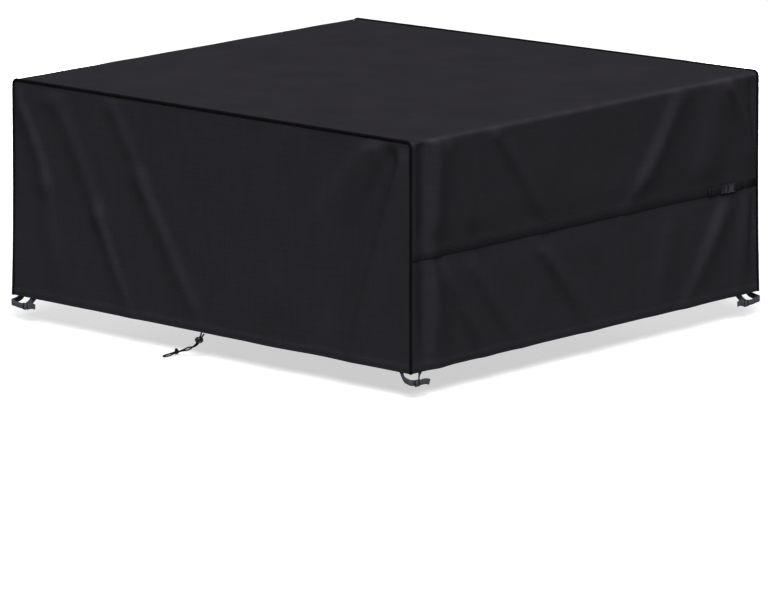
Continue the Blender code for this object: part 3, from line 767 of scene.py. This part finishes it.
def main_cloth(made_of):
    """The length of cloth that makes both plain walls and the top, hem to hem."""
    stations = section(0.0)
    columns = seam_spread(0.0, DEPTH, STEP * 1.12)
    rows = []
    flat = []
    painted_highlight = []

    def add_row(sign, station, inset, out, place, highlit):
        rows.append([main_point(station, u, sign, inset, out) for u in columns])
        flat.append([(u, sign * place) for u in columns])
        # painted highlight along the folded edges and the hem, uneven in patches
        highlight_patches = [noise.noise(Vector((u * 20, sign, 5.0))) for u in columns]
        painted_highlight.append([highlit * (0.6 + 0.4 * highlight_patch) for highlight_patch in highlight_patches])

    for sign in (-1, 1):
        half = []
        start = stations[-1].flat
        # painted highlight along the folded edge at the top and along the hem's edge
        for station in stations[:-1]:
            half.append((station, 0.0, 0.0, station.flat, painted_edge_highlight(station.flat - LENGTH / 2)))
        for row in hem_rows():
            highlit = painted_edge_highlight(row.drop - HEIGHT)
            half.append((wall_station(row.drop), row.inset, row.out, start + row.flat, highlit))
        if sign < 0:
            half = half[:0:-1]
        for station, inset, out, place, highlit in half:
            add_row(sign, station, inset, out, place, highlit)
    mesh = bmesh.new()
    add_grid(mesh, rows, flat, painted_highlight)
    piece = thickened(finished("main_cloth", mesh, made_of, closed=False), CLOTH, -1)
    return piece, 2 * (stations[-1].flat + hem_rows()[-1].flat)


def end_cloth(name, side, folds, made_of):
    """One end panel, from its piped edge down to the hem."""
    corner = LENGTH / 2 - FOLD_RADIUS
    radius = FOLD_RADIUS - TUCK
    bend = []
    for angle in spread(0, math.pi / 2, 6)[1:]:
        bend.append((corner + radius * math.sin(angle), FOLD_RADIUS - radius * math.cos(angle)))
    straight = spread(-corner, corner, round(2 * corner / STEP))
    columns = [(-x, drop) for x, drop in reversed(bend)] + [(x, TUCK) for x in straight] + bend
    if side > 0:
        columns.reverse()
    foot = HEIGHT - HEM_DEPTH
    shares = seam_spread(0.0, foot - TUCK, STEP)[:-6]
    shares = [s / shares[-1] for s in shares]
    rows = []
    flat = []
    painted_highlight = []
    for x, top_drop in columns:
        row = []
        places = []
        highlit = []
        # painted highlight along the hem's rounded edge
        for hem in reversed(hem_rows()):
            row.append(end_point(x, top_drop, hem.drop, side, folds, hem.inset, hem.out))
            places.append((x, -(foot + hem.flat)))
            highlit.append(painted_edge_highlight(hem.drop - HEIGHT))
        for share in reversed(shares[:-1]):
            drop = top_drop + (foot - top_drop) * share
            row.append(end_point(x, top_drop, drop, side, folds))
            places.append((x, -drop))
            highlit.append(0.0)
        rows.append(row)
        flat.append(places)
        painted_highlight.append(highlit)
    mesh = bmesh.new()
    add_grid(mesh, rows, flat, painted_highlight)
    return thickened(finished(name, mesh, made_of, closed=False), CLOTH, -1)


# ------------------------------------------------------------------ piping


def piping(name, side, made_of):
    """The raised bound seam round an end panel, from hem to hem, with its rows of stitches."""
    half = []
    for station in section(PIPING_INSET):
        y = side * (DEPTH / 2 + flare(station.drop) - PIPING_INSET)
        half.append((station, y))
    line = []
    axes = []
    for sign, run in ((-1, half[:0:-1]), (1, half)):
        for station, y in run:
            line.append(pushed(Vector((sign * station.x, y, station.z))))
            axes.append((Vector((sign * station.nx, 0, station.nz)), Vector((0, side, 0))))

    def pucker(place, angle):
        drawn = 0.03 * math.sin(math.tau * place / STITCH_PITCH / 2)
        return 1 + drawn + 0.07 * noise.noise(Vector((place * 45, angle, side)))

    mesh = bmesh.new()
    ends = ((0.7, 0.0004), (0.0, 0.0006))
    add_sweep(mesh, line, axes, ring(PIPING_RADIUS, 14), pucker, ends=ends)
    rows = []
    for lean in (math.radians(-28), math.radians(118)):
        stands = [a * math.cos(lean) + b * math.sin(lean) for a, b in axes]
        rows.append(([p + s * PIPING_RADIUS * 1.02 for p, s in zip(line, stands)], stands))
    return finished(name, mesh, made_of), rows


# ------------------------------------------------------------------ belt and buckle


def wall_point(u, drop, out):
    """A point at a height above the +X wall's cloth."""
    return main_point(wall_station(drop), u, 1, out=out)


def belt_run(stops):
    """A line on the +X wall through stops of u and height, with its axes out of and up the wall."""
    line = [wall_point(u, BELT_DROP, out) for u, out in stops]
    axes = []
    last = len(line) - 1
    for i, (u, out) in enumerate(stops):
        ahead = (line[min(i + 1, last)] - line[max(i - 1, 0)]).normalized()
        above = wall_point(u, BELT_DROP - BELT_WIDTH / 2, out)
        up = above - wall_point(u, BELT_DROP + BELT_WIDTH / 2, out)
        up = (up - ahead * up.dot(ahead)).normalized()
        axes.append((ahead.cross(up), up))
    return line, axes


def along_belt(start, end, out):
    """Stops every 6 mm along the belt, level on the wall."""
    return [(u, out) for u in spread(start, end, max(round((end - start) / 0.006), 2))]


def belt(name, stops, made_of):
    """A length of belt webbing sewn into the seam at one side, with its other end turned back."""
    mesh = bmesh.new()
    add_sweep(mesh, *belt_run(stops), strap_section(BELT_WIDTH, BELT_THICK))
    return finished(name, mesh, made_of)


def belt_pieces(webbing):
    """The two lengths of the belt, each threaded round its own half of the buckle."""
    lift = BELT_LIFT + BELT_THICK / 2
    second = lift + BELT_THICK + 0.0004
    bar = 0.0078
    long_end = along_belt(BELT_END, PLUG_START + 0.008, lift)
    long_end += [(PLUG_START + 0.0115, lift + 0.0003), (PLUG_START + 0.0125, lift + 0.0025)]
    long_end += [(PLUG_START + 0.0115, bar - 0.0006), (PLUG_START + 0.0085, bar)]
    long_end += [(PLUG_START + 0.0055, bar - 0.0008), (PLUG_START + 0.0040, second + 0.0022)]
    long_end += [(PLUG_START + 0.0015, second + 0.0002), (PLUG_START - 0.003, second)]
    back = along_belt(PLUG_START - 0.009, PLUG_START - BELT_TURNBACK, second)
    hump = []
    for i, (u, out) in enumerate(back):
        hump.append((u, out + 0.0016 * math.sin(math.pi * i / len(back)) ** 2))
    fold = PLUG_START - BELT_TURNBACK
    third = second + BELT_THICK + 0.0002
    hump.append((fold - 0.0012, (second + third) / 2))
    hump += [(fold + past, third) for past in (0, 0.008, 0.015)]
    long_belt = belt("belt_long_webbing", long_end + hump, webbing)
    short = along_belt(DEPTH - BELT_END, SOCKET_END - 0.0035, lift)
    short += [(SOCKET_END - 0.0068, lift + 0.001), (SOCKET_END - 0.0075, lift + 0.003)]
    short += [(SOCKET_END - 0.0062, bar - 0.0012), (SOCKET_END - 0.003, bar - 0.0004)]
    short += [(SOCKET_END + 0.0005, bar - 0.0016), (SOCKET_END + 0.003, second + 0.0010)]
    short += along_belt(SOCKET_END + 0.008, SOCKET_END + 0.038, second)
    short_belt = belt("belt_short_webbing", short, webbing)
    return long_belt, short_belt


def buckle_place(node_name):
    """From a buckle half's own axes, along, across and out, to the cover's, at its CAD solid."""
    low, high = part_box(node_name)
    turn = Matrix(((0, 0, 1), (1, 0, 0), (0, 1, 0))).to_4x4()
    return Matrix.Translation((low[0], low[1], (low[2] + high[2]) / 2)) @ turn


def buckle_plug(made_of):
    """The half with the prongs: an end bar, a grip bar, a body and two sprung prongs."""

    def shape(a, b):
        crown = 0.0012 * (b / 0.0135) ** 2
        if a < 0.0032:
            return a, b, 0.0036, 0.0058 - crown
        if a < 0.0128:
            return a, b, 0.0022, 0.0052 - crown
        return a, b, 0.0, 0.0062 - crown

    def prong(a, b):
        splay = 0.0016 * math.sin(math.pi * min(a / 0.018, 1.0))
        return a, b + splay, 0.0020, 0.0058 - 0.0006 * a / 0.018

    mesh = bmesh.new()
    along = (0, 0.003, 0.0072, 0.0098, 0.0138, 0.0175, 0.0235, 0.0295)
    across = (-0.0134, -0.0106, -0.0055, 0, 0.0055, 0.0106, 0.0134)
    slots = {(i, j) for i in (1, 3) for j in (1, 2, 3, 4)}
    place = buckle_place("belt_buckle_plug")
    add_plate(mesh, along, across, slots, shape, 0.0006, place)
    for sign in (-1, 1):
        put = place @ Matrix.Translation((0.0285, 0, 0)) @ Matrix.Diagonal((1, sign, 1, 1))
        edges = (0.0104, 0.0118, 0.0132)
        add_plate(mesh, (0, 0.004, 0.008, 0.012, 0.016, 0.019), edges, (), prong, 0.0005, put)
    for a in (0.0175, 0.0205, 0.0235):
        rib = place @ Matrix.Translation((a, 0, 0.0058))
        add_plate(mesh, (-0.0006, 0.0006), (-0.009, -0.003, 0.003, 0.009), (),
                  lambda a, b: (a, b, -0.0006, 0.0006 - 0.0006 * (b / 0.0135) ** 2), 0.0002, rib)
    return creased(finished("buckle_plug", mesh, made_of))


def buckle_socket(made_of):
    """The half the prongs click into: a body with side windows, a slot and an end bar."""

    def shape(a, b):
        crown = (b / 0.0155) ** 2
        mouth = 0.0036 * (1 - crown) * max(1 - a / 0.010, 0.0)
        narrowed = 1 - 0.05 * smoothstep((a - 0.022) / 0.012)
        dish = 0.0004 if 0.012 < a < 0.024 and abs(b) < 0.008 else 0.0
        if a > 0.0285:
            return a, b * narrowed, 0.0014, 0.0062 - 0.0008 * crown
        return a + mouth, b * narrowed, 0.0, 0.0080 - 0.0016 * crown - dish

    mesh = bmesh.new()
    along = (0, 0.004, 0.0085, 0.0125, 0.0165, 0.0205, 0.0245, 0.0275, 0.0305, 0.0362, 0.0398)
    across = (-0.0154, -0.0126, -0.0075, -0.0035, 0, 0.0035, 0.0075, 0.0126, 0.0154)
    slots = {(8, j) for j in range(1, 7)} | {(i, j) for i in (2, 3, 4) for j in (0, 7)}
    add_plate(mesh, along, across, slots, shape, 0.0006, buckle_place("belt_buckle_socket"))
    return creased(finished("buckle_socket", mesh, made_of))


# ------------------------------------------------------------------ corner straps


# Route of a corner strap's loop: in from one wall, in from the other, up from the hem.
# It hangs low outside the leg and runs up inside the hem, where it is sewn, on both walls.
LOOP_ROUTE = (
    (0.052, 0.0075, 0.010),
    (0.044, 0.0065, 0.000),
    (0.035, 0.0035, -0.0125),
    (0.023, -0.0015, -0.0195),
    (0.009, -0.0038, -0.0225),
    (-0.0022, -0.0025, -0.0245),
    (-0.0042, 0.009, -0.0265),
    (-0.0040, 0.022, -0.0290),
    (-0.0020, 0.034, -0.0290),
    (0.0030, 0.0430, -0.0180),
    (0.0062, 0.0495, -0.0050),
    (0.0075, 0.0570, 0.0070),
    (0.0130, 0.0650, 0.0140),
    (0.028, 0.058, 0.017),
    (0.044, 0.044, 0.018),
    (0.057, 0.029, 0.017),
    (0.062, 0.0140, 0.014),
)
# Route of its free end: out from the hem's corner line, past the buckle, above the hem.
TAIL_ROUTE = (
    (0.0085, 0.003, -0.0280),
    (0.0095, 0.015, -0.0262),
    (0.0110, 0.028, -0.0260),
    (0.0125, 0.040, -0.0290),
)
# The strap's buckle: out from the hem's corner line, length along the wall and place above the hem.
STRAP_BUCKLE_PLACE = (0.0080, 0.021, -0.0285)
NEAR_CORNER = 0.008  # up to here a route keeps its own measure along the wall
# reach stretches a strap's route along the wall that its free end runs along, which is the end
# panel's where along_end is true. buckle is how far from the corner the buckle starts, and lift
# is how far the free end rises past it.
Corner = namedtuple("Corner", "name sign_x sign_y along_end reach buckle lift")
CORNERS = (
    Corner("front_left", -1, -1, True, 1.75, 0.055, 0.006),
    Corner("front_right", 1, -1, False, 0.92, 0.010, -0.003),
    Corner("back_right", 1, 1, False, 1.85, 0.062, 0.006),
    Corner("back_left", -1, 1, True, 1.0, 0.0145, 0.002),
)


def corner_point(place, corner):
    """A strap route's point in the cover's frame. The route is for a tail along a side wall."""
    from_side, from_end, above = place
    if corner.along_end:
        from_side, from_end = from_end, from_side
    x = corner.sign_x * (LENGTH / 2 + FLARE - from_side)
    y = corner.sign_y * (DEPTH / 2 + FLARE - from_end)
    return pushed(Vector((x, y, HEM + above)))


def loop_points(corner):
    """The route of one corner's loop, stretched along its wall."""
    points = []
    for from_side, from_end, above in LOOP_ROUTE:
        if from_end > NEAR_CORNER:
            from_end *= corner.reach
        points.append(corner_point((from_side, from_end, above), corner))
    return points


def strap_buckle_ends(corner):
    """The two ends of one corner's buckle."""
    out, length, above = STRAP_BUCKLE_PLACE
    return [corner_point((-out, corner.buckle + part, above), corner) for part in (0, length)]


def tail_points(corner):
    """The route of one corner's free end, out of its buckle."""
    start = corner.buckle + STRAP_BUCKLE_PLACE[1]
    points = []
    for out, past, above in TAIL_ROUTE:
        above += corner.lift * past / TAIL_ROUTE[-1][1]
        points.append(corner_point((-out, start + past, above), corner))
    return points


def corner_strap(corner, webbing, plastic):
    """A strap loop under one corner, its ladder buckle and its free end, threaded over the bar."""
    outline = strap_section(STRAP_WIDTH, STRAP_THICK)
    loop = smooth_line(loop_points(corner), LOOP_STEPS, True)
    mesh = bmesh.new()
    add_sweep(mesh, loop, level_axes(loop, True), outline, looped=True)
    loop_piece = finished(f"strap_loop_{corner.name}_webbing", mesh, webbing)

    ends = strap_buckle_ends(corner)
    span = (ends[1] - ends[0]).length
    ahead = (ends[1] - ends[0]).normalized()
    upright = (Vector((0, 0, 1)) - ahead * ahead.z).normalized()
    outward = ahead.cross(upright)
    outward *= math.copysign(1, outward.dot(Vector((corner.sign_x, corner.sign_y, 0))))
    middle = (ends[0] + ends[1]) / 2

    threaded = []
    for share, height in THREADING:
        threaded.append(middle + ahead * span * (share - 0.5) + outward * height)
    tail = smooth_line(threaded + tail_points(corner), TAIL_STEPS, False)
    mesh = bmesh.new()
    add_sweep(mesh, tail, level_axes(tail), outline)
    tail_piece = finished(f"strap_tail_{corner.name}_webbing", mesh, webbing)

    half = STRAP_BUCKLE_TALL / 2

    def shape(a, b):
        crown = 0.0008 * (b / half) ** 2
        share = a / span
        if 0.36 < share < 0.64 and abs(b) < half * 0.9:
            return a, b, -0.0012, 0.0008
        if share < 0.37 or share > 0.63:
            return a, b, -0.0009, 0.0017 - crown
        return a, b, -0.0012, 0.0017 - crown

    along = [span * share for share in (0, 0.14, 0.37, 0.50, 0.63, 0.86, 1)]
    across = [half * share for share in (-1, -0.87, -0.4, 0, 0.4, 0.87, 1)]
    slots = {(i, j) for i in (1, 4) for j in (1, 2, 3, 4)}
    place = Matrix.Translation(middle - ahead * span / 2)
    place = place @ Matrix((ahead, upright, outward)).transposed().to_4x4()
    mesh = bmesh.new()
    add_plate(mesh, along, across, slots, shape, 0.0005, place)
    buckle_piece = creased(finished(f"strap_buckle_{corner.name}_plate", mesh, plastic))
    return loop_piece, tail_piece, buckle_piece


# ------------------------------------------------------------------ drawstring


# Route of the drawstring's two strands, from the hem to the loop that ends it: x, out from the
# hem's line, above the hem, half the distance between them, and degrees the pair has turned.
PAIR_ROUTE = (
    (-0.0125, 0.0002, -0.0018, 0.0060, 0),
    (-0.0142, 0.0018, -0.0074, 0.0046, 0),
    (-0.0175, 0.0045, -0.0144, 0.0029, 0),
    (-0.0220, 0.0060, -0.0234, 0.0029, 0),
    (-0.0265, 0.0075, -0.0324, 0.0029, 0),
    (-0.0380, 0.0105, -0.0434, 0.0040, 40),
    (-0.0590, 0.0160, -0.0544, 0.0034, 100),
    (-0.0780, 0.0225, -0.0619, 0.0029, 160),
    (-0.0905, 0.0275, -0.0664, 0.0026, 180),
    (-0.0970, 0.0320, -0.0680, 0.0026, 180),
    (-0.1000, 0.0390, -0.0698, 0.0028, 180),
    (-0.1000, 0.0520, -0.0719, 0.0055, 180),
    (-0.0980, 0.0700, -0.0729, 0.0080, 180),
    (-0.0960, 0.0860, -0.0730, 0.0060, 180),
    (-0.0955, 0.0910, -0.0730, 0.0000, 180),
)
LOCK_ROW = 3
KNOT_ROW = 9
# The knot's turns and the one that crosses them: degrees round, share of its half sizes, along.
KNOT_ROUTE = (
    (-60, 0.80, -0.0046),
    (0, 1.00, -0.0040),
    (90, 1.00, -0.0028),
    (180, 1.00, -0.0017),
    (270, 1.00, -0.0006),
    (360, 1.00, 0.0005),
    (450, 1.00, 0.0016),
    (540, 1.00, 0.0027),
    (630, 1.00, 0.0038),
    (690, 1.12, 0.0046),
    (750, 1.55, 0.0042),
    (810, 1.84, 0.0000),
    (870, 1.55, -0.0042),
    (915, 1.00, -0.0062),
    (950, 0.70, -0.0062),
)


def pair_middle(row):
    """The middle of the two strands at a row of their route."""
    x, out, above = PAIR_ROUTE[row][:3]
    return pushed(Vector((x, -(DEPTH / 2 + FLARE + out), HEM + above)))


def pair_axes(row):
    """Along the strands, from one to the other, and square to both.

    The strands lie side by side along X from the hem to past the lock, and then level.
    """
    ends = pair_middle(max(row - 1, 0)), pair_middle(min(row + 1, len(PAIR_ROUTE) - 1))
    ahead = (ends[1] - ends[0]).normalized()
    level = Vector((1, 0, 0))
    if row > LOCK_ROW + 2:
        level = Vector((-ahead.y, ahead.x, 0))
    across = (level - ahead * level.dot(ahead)).normalized()
    return ahead, across, ahead.cross(across)


def drawstring_points():
    """The whole cord's route: down one strand, round the end loop and back up the other."""
    down = []
    up = []
    for row, (_x, _out, _above, apart, turned) in enumerate(PAIR_ROUTE):
        _ahead, across, square = pair_axes(row)
        angle = math.radians(turned)
        aside = (across * math.cos(angle) + square * math.sin(angle)) * apart
        down.append(pair_middle(row) - aside)
        up.append(pair_middle(row) + aside)
    return down + up[-2::-1]


def turned_to(row, along):
    """A turn whose X runs across the strands and whose Z is along them, or square to both."""
    ahead, across, square = pair_axes(row)
    axes = (across, square, ahead) if along else (across, -ahead, square)
    return Matrix.Translation(pair_middle(row)) @ Matrix(axes).transposed().to_4x4()


def plaited(place, angle):
    """Relief of a braid: eight strands wound each way round the cord."""
    one = math.sin(4 * angle + place * 1100)
    other = math.sin(4 * angle - place * 1100)
    return 0.97 + 0.05 * max(one, other)


def braided(name, line, made_of):
    """A braided cord along a line, with sealed round ends."""
    mesh = bmesh.new()
    ends = ((0.9, 0.0008), (0.6, 0.0016), (0.0, 0.0020))
    add_sweep(mesh, line, carried_axes(line), ring(CORD_RADIUS, 16), plaited, ends=ends)
    return finished(name, mesh, made_of)


def knot_line():
    """Two turns round both strands and one over them, its ends tucked in."""
    place = turned_to(KNOT_ROW, True)
    route = []
    for degrees, share, along in KNOT_ROUTE:
        angle = math.radians(degrees)
        x = KNOT_TURN[0] * share * math.cos(angle)
        y = KNOT_TURN[1] * share * math.sin(angle)
        route.append(place @ Vector((x, y, along)))
    return smooth_line(route, KNOT_STEPS, False)


def cord_lock(made_of):
    """The lock's barrel, turned, with a rim for its plunger and an oval hole for both strands."""
    half = LOCK_LENGTH / 2
    outline = (
        (0, -half), (0.0062, -half), (0.0082, -0.0098), (0.0092, -0.0082), (LOCK_RADIUS, -0.0060),
        (LOCK_RADIUS, -0.0046), (0.0091, -0.0040), (0.0091, 0.0040), (LOCK_RADIUS, 0.0046),
        (LOCK_RADIUS, 0.0068), (0.0091, 0.0088), (0.0082, 0.0101), (0.0072, half),
        (0.0063, 0.0102), (0.0061, 0.0080), (0, 0.0080),
    )
    mesh = bmesh.new()
    add_turned(mesh, outline, 40, turned_to(LOCK_ROW, False))
    lock = finished("cord_lock_barrel", mesh, made_of)
    mesh = bmesh.new()
    bmesh.ops.create_cone(mesh, cap_ends=True, segments=32, radius1=1.0, radius2=1.0, depth=1.0)
    bmesh.ops.scale(mesh, vec=(*LOCK_HOLE, 4 * LOCK_RADIUS), verts=mesh.verts)
    bmesh.ops.transform(mesh, matrix=turned_to(LOCK_ROW, True), verts=mesh.verts)
    cutter = finished("lock_hole", mesh, made_of)
    hole = lock.modifiers.new("hole", "BOOLEAN")
    hole.object = cutter
    rounded = lock.modifiers.new("rounding", "BEVEL")
    rounded.width = 0.0005
    rounded.segments = 2
    rounded.limit_method = "ANGLE"
    graph = bpy.context.evaluated_depsgraph_get()
    cut = bpy.data.meshes.new_from_object(lock.evaluated_get(graph))
    lock.modifiers.clear()
    lock.data = cut
    bpy.data.objects.remove(cutter)
    return creased(lock)


def lock_plunger(made_of):
    """The lock's spring plunger: a turned button with a dished end."""
    outline = (
        (0, 0.0082), (0.0055, 0.0082), (0.0055, 0.0118), (PLUNGER_RADIUS, 0.0124),
        (PLUNGER_RADIUS, 0.0142), (0.0052, 0.0150), (0.0042, 0.0152), (0.0036, 0.0146), (0, 0.0142),
    )
    mesh = bmesh.new()
    add_turned(mesh, outline, 32, turned_to(LOCK_ROW, False))
    return creased(finished("cord_lock_button", mesh, made_of))


# ------------------------------------------------------------------ camera, light and floor


AZIMUTH = math.radians(42.0)
ELEVATION = math.radians(10.7)
LENS = 279.0
CAMERA_AWAY = 19.0  # from the cover's middle
AIM_BELOW = 0.375  # how far under the middle it looks


def add_camera():
    """A long lens from the front right, a little above the top."""
    middle = Vector((0, 0, TOP - HEIGHT / 2))
    away = Vector((math.sin(AZIMUTH) * math.cos(ELEVATION),
                   -math.cos(AZIMUTH) * math.cos(ELEVATION),
                   math.sin(ELEVATION)))
    data = bpy.data.cameras.new("camera")
    data.lens = LENS
    data.sensor_width = 36.0
    data.clip_end = 200.0
    camera = bpy.data.objects.new("camera", data)
    camera.location = middle + away * CAMERA_AWAY
    aim = middle - Vector((0, 0, AIM_BELOW))
    camera.rotation_mode = "QUATERNION"
    camera.rotation_quaternion = (aim - camera.location).to_track_quat("-Z", "Y")
    bpy.context.scene.collection.objects.link(camera)
    bpy.context.scene.camera = camera


def add_light(data, place, aim):
    """Put a light in the scene, turned to what it lights and hidden from the camera."""
    light = bpy.data.objects.new(data.name, data)
    light.location = place
    light.rotation_mode = "QUATERNION"
    light.rotation_quaternion = (Vector(aim) - Vector(place)).to_track_quat("-Z", "Y")
    light.visible_camera = False
    bpy.context.scene.collection.objects.link(light)


def add_strip(name, place, size, power):
    """A long low softbox that lights the walls it faces, but not the top."""
    data = bpy.data.lights.new(name, "AREA")
    data.shape = "RECTANGLE"
    data.size, data.size_y = size
    data.energy = power
    add_light(data, place, (0, 0, place[2]))


def add_ceiling(name, place, spread_angle, strength):
    """A far, wide light that stands for a lit ceiling and falls evenly on the whole floor."""
    data = bpy.data.lights.new(name, "SUN")
    data.angle = math.radians(spread_angle)
    data.energy = strength
    add_light(data, place, (0, 0, 0))


def add_studio():
    """A pale lit floor, a dim white world, a wide ceiling light and a low strip behind."""
    mesh = bmesh.new()
    bmesh.ops.create_grid(mesh, x_segments=1, y_segments=1, size=60.0)
    bmesh.ops.translate(mesh, verts=mesh.verts, vec=(0, 0, GROUND))
    data = bpy.data.meshes.new("floor")
    mesh.to_mesh(data)
    mesh.free()
    data.materials.append(lit_acrylic())
    floor = bpy.data.objects.new("floor", data)
    bpy.context.scene.collection.objects.link(floor)
    world = bpy.data.worlds.new("white_studio")
    world.use_nodes = True
    background = world.node_tree.nodes["Background"]
    background.inputs["Color"].default_value = hex_colour("ffffff")
    background.inputs["Strength"].default_value = 0.08
    bpy.context.scene.world = world
    bpy.context.scene.view_settings.view_transform = "Standard"
    bpy.context.scene.view_settings.look = "High Contrast"
    add_ceiling("ceiling", (3.4, -3.8, 8.0), 40.0, 7.0)
    add_strip("back_strip", (-3.4, 3.6, -0.35), (4.0, 0.6), 260.0)


# ------------------------------------------------------------------ build


def show(piece, cad_node):
    """Let a piece stand for its CAD solid, which is hidden."""
    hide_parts(cad_node)
    return piece


def hem_stitch_rows():
    """The stitches that hold each wall's hem, and the bar tacks that hold the corner straps."""
    drop = HEIGHT - HEM_DEPTH + 0.0018
    out = 0.0002
    rows = []
    for sign in (-1, 1):
        station = wall_station(drop)
        line = [main_point(station, u, sign, out=out) for u in spread(0.008, DEPTH - 0.008, 170)]
        rows.append((line, [Vector((sign, 0, 0))] * len(line)))
        for u in (0.050, 0.058, DEPTH - 0.058, DEPTH - 0.050):
            tack = []
            for low_drop in spread(drop + 0.003, HEIGHT - 0.006, 4):
                tack.append(main_point(wall_station(low_drop), u, sign, out=out + HEM_PLUMP))
            rows.append((tack, [Vector((sign, 0, 0))] * len(tack)))
    edge = LENGTH / 2 - 0.010
    for side, folds in ((-1, FRONT_FOLDS), (1, BACK_FOLDS)):
        line = [end_point(x, TUCK, drop, side, folds, out=out) for x in spread(-edge, edge, 180)]
        rows.append((line, [Vector((0, side, 0))] * len(line)))
        for x in (-edge + 0.042, -edge + 0.050, edge - 0.050, edge - 0.042):
            tack = [end_point(x, TUCK, d, side, folds, out=out + HEM_PLUMP)
                    for d in spread(drop + 0.003, HEIGHT - 0.006, 4)]
            rows.append((tack, [Vector((0, side, 0))] * len(tack)))
    return rows


add_camera()
add_studio()
CLOTH_LOOK = coated_cloth()
TAPE_LOOK = plain_woven("woven_binding_tape", "111011", "1e1d1e", 0.0012, 0.0012, 0.0002, 0.8, 0.04)
BELT_LOOK = plain_woven(
    "woven_polypropylene_belt", "201f21", "2d2c2f", 0.0022, 0.0016, 0.0003, 0.8, 0.04)
STRAP_LOOK = plain_woven(
    "woven_polyester_strap", "35363a", "4e5056", 0.0022, 0.0016, 0.0003, 0.6, 0.2)
CORD_LOOK = plain_woven(
    "braided_polyester_cord", "0a0a0b", "202022", 0.0012, 0.0022, 0.0003, 0.65, 0.2)
THREAD_LOOK = plain_woven(
    "twisted_polyester_thread", "101011", "242427", 0.0003, 0.0003, 0.0001, 0.5, 0.3)
PLASTIC_LOOK = moulded_plastic()

pipes = []
seam_rows = hem_stitch_rows()
for side_name, side_sign in (("front", -1), ("back", 1)):
    pipe, pipe_rows = piping(f"piping_{side_name}_tape", side_sign, TAPE_LOOK)
    pipes.append(show(pipe, f"piping_{side_name}"))
    seam_rows += pipe_rows
thread = stitched("seam_stitches", seam_rows, THREAD_LOOK)

main, main_length = main_cloth(CLOTH_LOOK)
show(main, "main_panel")
for cloth_name, cad_name, cloth_side, cloth_folds, pipe in (
    ("front_cloth", "end_panel_front", -1, FRONT_FOLDS, pipes[0]),
    ("back_cloth", "end_panel_back", 1, BACK_FOLDS, pipes[1]),
):
    cloth = end_cloth(cloth_name, cloth_side, cloth_folds, CLOTH_LOOK)
    show(cloth, cad_name)

long_belt, short_belt = belt_pieces(BELT_LOOK)
show(long_belt, "belt_long")
show(short_belt, "belt_short")
show(buckle_plug(PLASTIC_LOOK), "belt_buckle_plug")
show(buckle_socket(PLASTIC_LOOK), "belt_buckle_socket")

for corner in CORNERS:
    loop, tail, ladder = corner_strap(corner, STRAP_LOOK, PLASTIC_LOOK)
    show(loop, f"strap_loop_{corner.name}")
    show(tail, f"strap_tail_{corner.name}")
    show(ladder, f"strap_buckle_{corner.name}")

cord_path = smooth_line(drawstring_points(), CORD_STEPS, False)
cord = show(braided("drawstring_cord", cord_path, CORD_LOOK), "drawstring")
knot = braided("drawstring_knot_turns", knot_line(), CORD_LOOK)
show(knot, "drawstring_knot")
lock = show(cord_lock(PLASTIC_LOOK), "cord_lock")
button = show(lock_plunger(PLASTIC_LOOK), "cord_lock_plunger")
